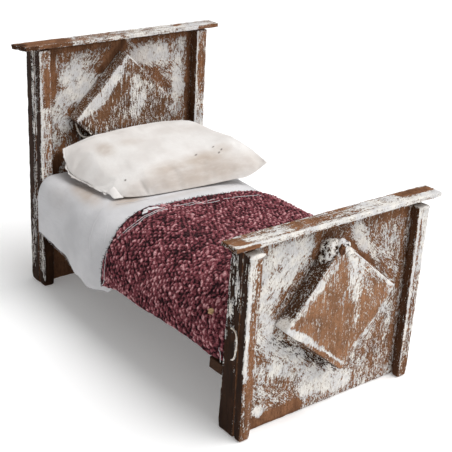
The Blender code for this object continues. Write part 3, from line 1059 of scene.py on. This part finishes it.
def bed_sheet(drape, material):
    """The white sheet, over the mattress from the headboard to the footboard, with its frayed left hem."""
    low, high = cad_box("bed_sheet")
    rows, columns = SHEET_GRID
    line = np.linspace(low[1] + 0.3, high[1] - 0.2, rows)
    spots = np.outer(line, (1, 0, 0))
    fray = 0.4 * smooth_noise(spots, 0.9, 8) + 0.4 * smooth_noise(spots, 3.5, 9)
    left = drape.hem(-1, SHEET_HEM, line) + fray
    right = drape.hem(1, SHEET_HEM, line) + fray[::-1]
    across = left[:, None] + (right - left)[:, None] * np.linspace(0, 1, columns)
    along = line[:, None] + 0 * across
    lift = sheet_folds(across, along)
    outer, inner = (drape.point(across, along, lift - depth) for depth in (0, SHEET_THICKNESS))
    stain, grey = sheet_marks(across, along)
    piece = thick_cloth("bed_sheet_cloth", outer, inner, across, along, stain=stain, grey=grey)
    finish(piece, material, node="bed_sheet")

    def above(across, along):
        return sheet_folds(across, along) + 0.15

    bare = line > SHEET_SHOWS_FROM
    fibres = fringe(drape, "bed_sheet_fringe", left[bare], line[bare], out=(-1, 0), lift=0.2, reach=0.7,
                    seed=83, radius=0.07)
    threads = loose_threads(drape, "bed_sheet_threads", SHEET_THREADS, above, radius=0.09)
    for extra in (fibres, threads):
        finish(extra, material)


LOOP_ACROSS = 2.35              # from one loop of yarn to the next
LOOP_ALONG = 1.95
LOOP_SIZE = (1.46, 0.92)        # half length and half width of one loop of yarn
# The blanket's head hem: (x, y)
BLANKET_HEAD = ((-90, 13.8), (-62, 14.6), (-48, 14.2), (-36, 15.4), (-22, 16.2), (0, 14.8), (20, 13.2),
                (35, 12.2), (50, 11.2), (90, 11.0))
# Loose white threads: (kind, places), where "top" places are (x, y) and "side" places are (z, y)
BLANKET_THREADS = (
    ("top", ((-15, 9.6), (-11, 8.0), (-5, 6.6), (1, 5.6), (9, 4.8))),
    ("top", ((-9, 9.6), (-3, 8.2), (5, 7.2), (8, 7.0))),
    ("top", ((12, 5.6), (18, 5.0), (26, 4.8), (35, 4.2))),
    ("top", ((-30, 14.4), (-25, 15.2), (-20, 14.4), (-16, 12.8))),
    ("side", ((66.4, 9.6), (64.0, 9.2), (61.0, 8.6), (57.5, 9.4), (53.0, 10.6))),
    ("side", ((66.0, 8.0), (63.0, 7.8), (60.0, 7.4), (56.0, 8.4))),
    ("side", ((47.0, 13.2), (42.0, 11.4), (38.0, 10.6), (34.0, 10.8), (31.0, 12.4))),
    ("side", ((56.5, -72.0), (54.5, -73.8), (51.0, -74.6), (48.5, -74.2))),
    ("side", ((38.5, -73.6), (35.5, -74.6), (32.5, -74.4))),
)
SHEET_THREADS = (
    ("side", ((60.0, 33.0), (52.0, 29.5), (45.0, 27.5), (40.0, 24.5))),
    ("side", ((57.0, 24.0), (50.0, 20.0), (44.0, 18.6))),
    ("top", ((-34, 30), (-28, 27.5), (-20, 27.0), (-12, 28.2))),
)


def yarn_loops(across, along):
    """The blanket's loops of yarn, laid in uneven rows: their height, 0 to 1, and each one's shade."""
    height = np.full(across.shape, -1.0)
    shade = np.zeros(across.shape)
    row = np.floor(along / LOOP_ALONG).astype(np.int64)
    for row_step in (-1, 0, 1):
        line = row + row_step
        shift = 0.5 * (line % 2)
        column = np.floor(across / LOOP_ACROSS - shift).astype(np.int64)
        for column_step in (-1, 0, 1):
            spot = column + column_step
            x = (spot + 0.5 + shift) * LOOP_ACROSS + 0.5 * scatter(spot, line, 1)
            y = (line + 0.5) * LOOP_ALONG + 0.42 * scatter(spot, line, 2)
            lean = 0.35 + 0.9 * scatter(spot, line, 3)
            long = (across - x) * np.cos(lean) + (along - y) * np.sin(lean)
            wide = (along - y) * np.cos(lean) - (across - x) * np.sin(lean)
            size = 1 + 0.2 * scatter(spot, line, 4)
            dome = 1 - (long / LOOP_SIZE[0] / size) ** 2 - (wide / LOOP_SIZE[1] / size) ** 2
            dome = dome * (0.85 + 0.2 * scatter(spot, line, 5))
            higher = dome > height
            height = np.where(higher, dome, height)
            shade = np.where(higher, 0.5 + 0.5 * scatter(spot, line, 6), shade)
    return np.clip(height, 0, 1), shade


def warped(across, along):
    """Flat cloth places with the unevenness of hand-made rows."""
    shift = [0.7 * flat_noise(across, along, 5.0, seed) for seed in (21, 31)]
    return across + shift[0], along + shift[1] + 1.6 * flat_noise(across, along, 24.0, 41)


def blanket_top(across, along):
    """Lift of the blanket's middle layer, its yarn's relief, and its loops' shares and shades."""
    loops, shade = yarn_loops(*warped(across, along))
    middle = 1.25 + 0.5 * flat_noise(across, along, 15.0, 51)
    return middle, 1.2 * loops + 0.2 * flat_noise(across, along, 1.1, 52), loops, shade


def chenille():
    """Thick mottled yarn: each loop has its own shade, with fine fibres, painted highlights on the loops'
    tops and painted shade in the gaps between them.
    """
    s = Surface("blanket_chenille")
    loop = s.stored("loop")
    fibre = s.noise(0.3, 3.0, 0.7)
    tuft = s.ramp(s.noise(0.95, 3.0, 0.65, 0.6), 0.27, 0.73)
    cloud = s.even_noise(10.0, 3.0)
    # painted light: high parts of each loop are lightened and the gaps between loops darkened, on top of each
    # loop's own shade, the tufts, the cloud, the fibres and the darker head hem
    light = s.weighted((s.stored("shade"), 0.32), (s.ramp(loop, 0.12, 0.95), 0.44), (tuft, 0.46),
                       (cloud, 0.26), (s.ramp(fibre, 0.35, 0.65), 0.14), (s.stored("rim"), -0.4))
    light = s.plus(light, -0.32)
    colour = s.tint(srgb(24, 9, 14), srgb(128, 64, 72), light, 0.18, 0.52)
    soft = s.bump(s.plus(loop, s.times(tuft, 0.6)), 0.5, 0.8)
    return s.finished({
        # painted highlight: the pale pink where the painted light is strongest
        "Base Color": s.tint(colour, srgb(216, 164, 166), light, 0.54, 0.90),
        "Roughness": 0.95,
        "Specular IOR Level": 0.08,
        "Sheen Weight": 0.2,
        "Sheen Roughness": 0.6,
        "Sheen Tint": srgb(200, 150, 155),
        "Normal": s.bump(fibre, 0.12, 0.8, soft),
    })


def thread_path(drape, kind, places, lift):
    """Points of a loose thread through places on the bed's top or left side, wandering a little."""
    place, y = np.array(places, float).T
    across, along = catmull(np.stack((drape.find(kind, place, y), y), axis=1), 8).T
    spots = np.stack((across, along, along * 0), axis=1)
    wander = 0.5 * smooth_noise(spots, 3.6, 61) + 0.2 * smooth_noise(spots, 1.4, 62)
    sink = 0.3 * smooth_noise(spots, 3.0, 63)
    along = along + wander
    return drape.point(across, along, lift(across, along) + sink)


def loose_threads(drape, name, threads, lift, radius):
    """White cotton threads that lie on the cloth."""
    points, faces = joined([tube_shape(thread_path(drape, *thread, lift), radius) for thread in threads])
    piece = new_object(name, points, faces)
    give_attributes(piece, across=points[:, 0], along=points[:, 1])
    return piece


def fringe(drape, name, across, along, out, lift, reach, seed, radius=0.11):
    """Short fibres that stand out of a frayed edge, from places on the cloth in the flat direction out."""
    shapes = []
    share = np.linspace(-0.5, 1, 5)
    for k, (a, b) in enumerate(zip(across, along)):
        turn = 0.8 * scatter(k, seed, 1)
        way = out[0] * cos(turn) - out[1] * sin(turn), out[0] * sin(turn) + out[1] * cos(turn)
        length = reach * (0.65 + 0.45 * scatter(k, seed, 2))
        rise = lift + (0.5 * scatter(k, seed, 3) + 0.1) * share**2
        path = drape.point(a + share * length * way[0], b + share * length * way[1], rise)
        shapes.append(tube_shape(path, radius, 4))
    points, faces = joined(shapes)
    piece = new_object(name, points, faces)
    give_attributes(piece, across=points[:, 0], along=points[:, 1])
    for name, value in (("loop", 0.35), ("shade", 0.3), ("rim", 0.45)):
        give_attributes(piece, **{name: np.full(len(points), value)})
    return piece


def torn_patch(drape):
    """A scrap of white cotton that shows through by the blanket's head hem."""
    share = np.linspace(0, 1, 40)[None, :]
    depth = np.linspace(-1, 1, 7)[:, None]
    across = -31.0 + 11.5 * share + 0 * depth
    width = 1.5 * np.sin(pi * share) ** 0.6 * (1 - 0.45 * share)
    width = width + 0.45 * flat_noise(across, 0 * across, 1.6, 71)
    along = 11.3 + 1.9 * np.sin(pi * share) - 1.0 * share + width * depth
    lift = sum(blanket_top(across, along)[:2]) * 0.35 + 1.6
    outer, inner = drape.point(across, along, lift), drape.point(across, along, lift - 0.3)
    return thick_cloth("blanket_torn_patch", outer, inner, across, along)


def tan_bobble():
    """A ball of tan fluff on the blanket's left side."""
    points, faces, _ = lump_shape((-47.4, -65.1, 51.4), (1.15, 1.1, 1.15), 97, 0.6)
    piece = new_object("blanket_bobble", points, faces)
    s = Surface("tan_fluff")
    colour = s.tint(srgb(206, 176, 132), srgb(140, 104, 74), s.noise(0.5, 3.0, 0.7), 0.35, 0.65)
    finish(piece, s.finished({"Base Color": colour, "Roughness": 0.95}))
    return piece


def blanket_net(drape):
    """Flat places of the blanket's points, and how far they are from its foot hem, head hem and any rim."""
    share_along, share_across = np.ix_(*(np.linspace(0, 1, count) for count in BLANKET_GRID))
    start = cad_box("blanket")[0][1] - 0.2
    rough = -70 + 150 * share_across    # about how far across each column lies, near enough for the hem
    end = along_keys(BLANKET_HEAD, rough) + 0.45 * flat_noise(rough, 0 * rough, 1.1, 53)
    along = start + share_along * (end - start)
    left, right = drape.hem(-1, BLANKET_HEM, along), drape.hem(1, BLANKET_HEM, along)
    ragged = 0.4 * flat_noise(along, 0 * along, 1.2, 54)
    across = left + ragged + share_across * (right - left)
    foot_gap, head_gap = along - start, end - along
    side_gap = np.minimum(share_across, 1 - share_across) * BLANKET_WIDTH
    return across, along, foot_gap, head_gap, np.minimum(side_gap, np.minimum(head_gap, foot_gap))


def blanket(drape, cotton_thread):
    """The thick woven blanket over the foot half of the bed, with its frayed hem and loose threads."""
    across, along, foot_gap, head_gap, rim_gap = blanket_net(drape)
    body, relief, loops, shade = blanket_top(across, along)
    body_low = body - 0.9 * smoothstep(4.0, 0.0, foot_gap)
    outer = drape.point(across, along, body_low + smoothstep(-0.3, 1.3, rim_gap) * relief)
    inner = drape.point(across, along, body_low - BLANKET_THICKNESS)
    rim = smoothstep(1.8, 0.2, head_gap)
    piece = thick_cloth("blanket_cloth", outer, inner, across, along, loop=loops, shade=shade, rim=rim)
    yarn = chenille()
    finish(piece, yarn, node="blanket")

    def above(across, along):
        body, relief, _, _ = blanket_top(across, along)
        return body + np.maximum(relief, 0.7) - 0.02

    spots = np.linspace(2, across.shape[1] - 3, 230).astype(int)
    fray = fringe(drape, "blanket_fringe", across[-1, spots], along[-1, spots], out=(0, 1), lift=1.2,
                  reach=0.9, seed=81)
    finish(fray, yarn)
    white = loose_threads(drape, "blanket_threads", BLANKET_THREADS, above, radius=0.14)
    patch = torn_patch(drape)
    for extra in (white, patch):
        finish(extra, cotton_thread)
    tan_bobble()


# The pillow's upper side: columns from its left seam to its right seam, each from the front edge, over the
# front face, its ridge and the hollow behind it, to the back edge
PILLOW_TOP = (
    ((-34.3, 38.3, 64.6), (-35.0, 41.0, 64.9), (-35.6, 44.5, 65.3), (-37.3, 52.0, 66.0), (-39.2, 63.0, 66.9),
     (-39.4, 68.0, 69.8), (-37.2, 74.2, 77.4)),
    ((-30.3, 34.6, 63.8), (-30.8, 37.0, 65.6), (-30.8, 40.2, 67.6), (-31.2, 46.4, 70.8), (-33.0, 60.0, 74.8),
     (-33.6, 68.0, 77.2), (-31.6, 74.5, 79.2)),
    ((-26.4, 31.6, 63.4), (-25.4, 34.0, 67.2), (-23.8, 37.8, 70.0), (-22.6, 43.4, 73.2), (-22.6, 58.0, 78.6),
     (-23.0, 68.0, 80.3), (-22.6, 74.7, 81.2)),
    ((-19.4, 29.8, 63.1), (-18.6, 32.4, 68.6), (-18.0, 38.6, 73.2), (-16.4, 44.6, 76.2), (-14.2, 58.0, 80.4),
     (-14.4, 68.0, 81.3), (-13.6, 74.8, 81.8)),
    ((-12.6, 28.5, 62.9), (-12.4, 31.6, 70.0), (-12.4, 39.6, 75.2), (-8.6, 45.6, 77.8), (-7.8, 57.6, 80.5),
     (-6.0, 68.0, 81.5), (-5.0, 74.9, 82.2)),
    ((3.0, 27.0, 62.8), (3.4, 30.9, 70.3), (0.0, 40.0, 76.6), (3.4, 46.0, 78.5), (5.4, 57.0, 79.7),
     (7.0, 68.0, 81.5), (8.0, 74.9, 82.4)),
    ((17.0, 26.0, 62.8), (18.2, 30.0, 69.8), (20.4, 39.5, 76.2), (24.0, 46.0, 77.9), (24.4, 57.0, 79.2),
     (24.4, 68.0, 81.0), (25.0, 74.9, 81.8)),
    ((33.0, 25.0, 63.0), (34.6, 28.9, 69.3), (36.4, 38.0, 77.0), (38.4, 44.0, 78.3), (36.6, 55.0, 79.1),
     (36.4, 66.0, 80.6), (37.6, 74.3, 80.6)),
    ((42.2, 24.5, 63.2), (44.6, 27.2, 67.5), (43.2, 34.0, 74.2), (45.2, 40.0, 76.4), (43.8, 52.0, 77.3),
     (44.0, 62.0, 77.5), (44.6, 69.6, 77.6)),
    ((55.2, 25.0, 68.4), (54.9, 28.4, 69.7), (54.5, 33.0, 71.0), (53.7, 39.0, 72.5), (52.4, 47.0, 73.9),
     (50.4, 56.0, 74.9), (46.4, 66.0, 76.2)),
)
PILLOW_REST = 63.3              # height of the underside where the pillow rests on the bed
PILLOW_STEPS = 8                # points to each gap of the net
SIM_SCALE = 12.0                # cloth simulation works best at the size of a real cushion
SIM_FRAMES = 20
SIM_CAP = 0.7                   # the most that a point may move
SIM_SETTINGS = {
    "quality": 6,
    "mass": 0.2,
    "tension_stiffness": 12,
    "compression_stiffness": 12,
    "shear_stiffness": 5,
    "bending_stiffness": 1.5,
    "shrink_min": -0.02,
    "use_pressure": True,
    "uniform_pressure_force": 2.5,
    "vertex_group_mass": "held",
}
# Centre, size and strength of the pillow's stains; the broad one over the front face is painted shade
PILLOW_STAINS_AND_SHADE = (
    ((-23, 58, 79), (5.5, 7, 4), 0.65), ((-9, 57, 80.6), (9, 4, 4), 0.36),
    ((0, 34, 72.0), (17, 6, 4.5), 0.72), ((20, 34, 73.6), (18, 6, 4.5), 0.85),
    ((33, 36, 75.6), (8, 4, 4), 0.6), ((15, 28.5, 68.5), (48, 9.5, 8), 0.72),
    ((-22, 33, 66), (8, 7, 5), 0.3), ((25, 62, 79), (18, 5, 3), 0.25),
)
# Centre and size of its dark specks
PILLOW_SPECKS = (((30.8, 35.4, 74.6), 0.7), ((29.0, 39.0, 76.8), 0.5), ((17.4, 37.2, 75.0), 0.55),
                 ((-24.4, 37.4, 69.4), 0.65), ((33.0, 36.4, 75.6), 0.45))


def net_surface(net, steps):
    """A smooth grid of points through a net of them."""
    columns = [catmull(column, steps) for column in net]
    lines = [catmull(line, steps) for line in zip(*columns)]
    return np.array(lines).transpose(1, 0, 2)


def pillow_base():
    """The pillow's closed mesh before its cloth is worked: two layers of cloth joined at the seams."""
    top = net_surface(PILLOW_TOP, PILLOW_STEPS)
    wide, deep = top.shape[:2]
    s = np.linspace(0, 1, wide)[:, None]
    t = np.linspace(0, 1, deep)[None, :]
    inside = np.minimum(np.minimum(s, 1 - s) * 2.6, np.minimum(t * 2.4, (1 - t) * 2.6))
    share = smoothstep(0, 0.42, inside)
    bottom = top.copy()
    front, back = top[:, :1], top[:, -1:]
    ruled = front + (back - front) * t[..., None]
    bottom[..., :2] = (ruled[..., :2] + top[..., :2]) / 2
    seam = top[..., 2]
    bottom[..., 2] = np.minimum(seam * (1 - share) + PILLOW_REST * share, seam - 0.2 * share)
    over = np.arange(wide * deep).reshape(wide, deep)
    under = over.copy()
    under[1:-1, 1:-1] = wide * deep + np.arange((wide - 2) * (deep - 2)).reshape(wide - 2, deep - 2)
    points = np.concatenate((top.reshape(-1, 3), bottom[1:-1, 1:-1].reshape(-1, 3)))
    return points, np.concatenate((grid_quads(over), grid_quads(under)[:, ::-1])), over


def mesh_points(mesh):
    """A mesh's points in millimetres."""
    flat = np.empty(len(mesh.vertices) * 3)
    mesh.vertices.foreach_get("co", flat)
    return flat.reshape(-1, 3) / MM


def puffed(points, faces, held):
    """The same points after the stuffing has pushed the cloth out: Blender's Cloth with pressure, capped."""
    large = new_object("pillow_stuffing", points * SIM_SCALE, faces)
    large.vertex_groups.new(name="held").add(held.tolist(), 1.0, "REPLACE")
    cloth = large.modifiers.new("Cloth", "CLOTH")
    for name, value in SIM_SETTINGS.items():
        setattr(cloth.settings, name, value)
    cloth.settings.effector_weights.gravity = 0.0
    cloth.collision_settings.use_collision = False
    scene = bpy.context.scene
    for number in range(1, SIM_FRAMES + 1):
        scene.frame_set(number)
    worked = large.evaluated_get(bpy.context.evaluated_depsgraph_get())
    move = mesh_points(worked.data) / SIM_SCALE - points
    length = np.linalg.norm(move, axis=1, keepdims=True)
    move *= np.minimum(1, SIM_CAP / np.maximum(length, 1e-9))
    bpy.data.objects.remove(large, do_unlink=True)
    scene.frame_set(1)
    return points + move


def pillow_flap(material):
    """The folded end of cloth that sticks out at the pillow's front left corner, and its ragged left seam."""
    share = np.linspace(0, 1, 14)[:, None]
    width = np.linspace(-1, 1, 11)[None, :]
    drop = share * (1 + 0.2 * width)
    spine = np.array((-32.6, 38.2, 66.6)) + drop[..., None] * np.array((2.5, -4.4, -3.7))
    sideways = np.array((0.80, -0.20, 0.57))
    outwards = np.array((-0.49, -0.78, 0.38))
    reach = 2.2 - 0.3 * share + 0.25 * flat_noise(share + 0 * width, width + 0 * share, 0.35, 131)
    crown = 0.4 + 0.55 * (1 - width**2) - 0.9 * share * width + 0.7 * share**2
    outer = spine + (width * reach)[..., None] * sideways + crown[..., None] * outwards
    flap = thick_cloth("pillow_flap", outer, outer - 0.35 * outwards, outer[..., 0], outer[..., 1])

    seam = catmull(PILLOW_TOP[0], 9)
    ragged = (1.1 + 1.0 * smooth_noise(seam, 1.6, 111)[:, None]) * (-0.8, 0, -0.25)
    edge = np.stack((seam + ragged, seam + 0.5 * ragged, seam), axis=1) + (0.4, 0, 0)
    rag = thick_cloth("pillow_seam", edge, edge - (0.05, 0.0, 0.28), edge[..., 0], edge[..., 1])
    for piece in (flap, rag):
        finish(piece, material, "pillow")


def pillow_marks(places):
    """How stained the pillow is at each point, with painted shade over its front face, and how much of a
    speck lies there.
    """
    stain, speck = np.zeros((2, len(places)))
    for centre, size, amount in PILLOW_STAINS_AND_SHADE:
        distance = np.linalg.norm((places - centre) / size, axis=1)
        stain = np.maximum(stain, amount * smoothstep(1.3, 0.2, distance))
    for centre, size in PILLOW_SPECKS:
        nearest = places[np.argmin(np.linalg.norm(places - centre, axis=1))]
        distance = np.linalg.norm(places - nearest, axis=1)
        speck = np.maximum(speck, smoothstep(1.0, 0.4, distance / size))
    return stain, speck


def pillow():
    """The loose pillow: stuffed, smoothed and creased."""
    points, faces, top = pillow_base()
    held = np.concatenate((top[0], top[-1], top[:, 0]))
    piece = new_object("pillow_cloth", puffed(points, faces, held), faces)
    finer = piece.modifiers.new("Finer", "SUBSURF")
    finer.levels = finer.render_levels = 1
    smoothed = piece.evaluated_get(bpy.context.evaluated_depsgraph_get())
    piece.data = bpy.data.meshes.new_from_object(smoothed)
    piece.modifiers.clear()
    places = mesh_points(piece.data)
    folds = 0.3 * smooth_noise(places * (0.5, 1.0, 1.0), 7.0, 121) + 0.11 * smooth_noise(places, 2.6, 122)
    places[:, 2] += folds * smoothstep(PILLOW_REST + 0.3, PILLOW_REST + 4, places[:, 2])
    piece.data.vertices.foreach_set("co", (places * MM).ravel())
    piece.data.update()
    stain, speck = pillow_marks(places)
    give_attributes(piece, stain=stain, speck=speck, across=places[:, 0], along=places[:, 1] + places[:, 2])
    material = cotton("pillow_cotton", srgb(235, 232, 229), srgb(222, 217, 213))
    finish(piece, material, "pillow", "pillow")
    pillow_flap(material)


PAD_RINGS, PAD_TOP_POINTS, PAD_FLOOR_POINTS = 70, 90, 30
PAD_MIDDLE = (1.5, 61.0)        # x of its middle and z of its top
PAD_SHRINK = 0.985              # how far inside the sheet it stays
PAD_END_SHRINK = 0.96
TICKING_STRIPE = 5.0            # from one stripe to the next


def pad_ring(y, low, high):
    """The mattress's outline at one place along the bed, a little inside the sheet, with a flat underside."""
    run, x, z = bed_outline(y)
    span = np.linspace(-75, 75, PAD_TOP_POINTS)
    height = np.interp(span, run, np.clip(z, low[2] + 0.3, None))
    ring = np.stack((np.interp(span, run, x), np.full(PAD_TOP_POINTS, y), height), axis=1)
    centre = np.array((PAD_MIDDLE[0], y, (low[2] + PAD_MIDDLE[1]) / 2))
    shrink = PAD_SHRINK if low[1] + 2 < y < high[1] - 3 else PAD_END_SHRINK
    ring = centre + (ring - centre) * (shrink, 1, shrink)
    floor = np.linspace(ring[-1], ring[0], PAD_FLOOR_POINTS)[1:-1]
    floor[:, 2] = low[2] + 0.2
    return np.concatenate((ring, floor))


def ticking():
    """Pale cloth with blue-grey stripes along the bed."""
    s = Surface("mattress_ticking")
    x = s.add("ShaderNodeSeparateXYZ", {0: s.place}).outputs[0]
    stripe = s.maths("SINE", s.times(x, 2 * pi / (TICKING_STRIPE * MM)))
    colour = s.tint(srgb(214, 208, 196), srgb(120, 130, 150), stripe, 0.55, 0.8)
    colour = s.mix(s.times(s.noise(0.5), 0.3), colour, srgb(160, 152, 140))
    return s.finished({"Base Color": colour, "Roughness": 0.9})


def mattress():
    """The pad under the sheet, with a striped ticking cover."""
    low, high = cad_box("mattress")
    rings = [pad_ring(y, low, high) for y in np.linspace(low[1] + 0.6, high[1] - 1.5, PAD_RINGS)]
    sides = len(rings[0])
    ends = [tuple(range(sides))[::-1], tuple(range((PAD_RINGS - 1) * sides, PAD_RINGS * sides))]
    piece = new_object("mattress_pad", np.concatenate(rings), ring_quads(PAD_RINGS, sides) + ends)
    finish(piece, ticking(), node="mattress")


def base_board():
    """The thin board under the mattress and the two battens that carry it."""
    material = worn_paint("base_dark_wood", OAK, along="x")
    for seed, node in enumerate(("base_board", "foot_batten", "head_batten"), 60):
        board = worn_board(node + "_worn", *cad_box(node), BASE_PAINT, 0.5, seed)
        finish(board, material, node=node)


# ---------------------------------------------------------------- stage

def make_camera():
    """The camera of the reference view."""
    yaw, pitch, roll = radians(CAMERA_YAW), radians(CAMERA_PITCH), radians(CAMERA_ROLL)
    right = Vector((cos(yaw), -sin(yaw), 0))
    forward = Vector((sin(yaw) * cos(pitch), cos(yaw) * cos(pitch), sin(pitch)))
    up = right.cross(forward)
    rolled_right = cos(roll) * right + sin(roll) * up
    rolled_up = -sin(roll) * right + cos(roll) * up
    data = bpy.data.cameras.new("camera")
    data.lens = CAMERA_LENS
    data.sensor_width = CAMERA_SENSOR
    data.clip_start = 0.01
    camera = bpy.data.objects.new("camera", data)
    turn = Matrix((rolled_right, rolled_up, -forward)).transposed().to_4x4()
    camera.matrix_world = Matrix.Translation(Vector(CAMERA_PLACE) * MM) @ turn
    bpy.context.scene.collection.objects.link(camera)
    bpy.context.scene.camera = camera


def make_floor():
    """A pale floor that glows a little."""
    corners = [(x * FLOOR_REACH, y * FLOOR_REACH, 0) for x, y in ((-1, -1), (1, -1), (1, 1), (-1, 1))]
    floor = new_object("floor", corners, [(0, 1, 2, 3)], smooth=False)
    floor.data.materials.append(Surface("pale_floor").finished({
        "Base Color": (0.93, 0.93, 0.93, 1.0),
        "Roughness": 0.9,
        "Specular IOR Level": 0.1,
        "Emission Color": WHITE,
        "Emission Strength": FLOOR_GLOW,
    }))


def make_light():
    """White surroundings and a soft lamp."""
    world = bpy.data.worlds.new("surroundings")
    world.use_nodes = True
    sky = world.node_tree.nodes["Background"].inputs
    sky["Color"].default_value = WHITE
    sky["Strength"].default_value = SKY_STRENGTH
    bpy.context.scene.world = world
    lamp = bpy.data.lights.new("key_lamp", "SUN")
    lamp.energy = KEY_STRENGTH
    lamp.angle = radians(KEY_SPREAD)
    sun = bpy.data.objects.new("key_lamp", lamp)
    sun.rotation_euler = Vector(KEY_DIRECTION).to_track_quat("-Z", "Y").to_euler()
    bpy.context.scene.collection.objects.link(sun)
    bpy.context.scene.view_settings.view_transform = "Standard"


make_camera()
make_floor()
make_light()
end_boards()
base_board()
mattress()
bed_drape = Drape()
sheet_cotton = cotton("sheet_cotton", srgb(228, 227, 229), srgb(210, 209, 211))
bed_sheet(bed_drape, sheet_cotton)
blanket(bed_drape, sheet_cotton)
pillow()
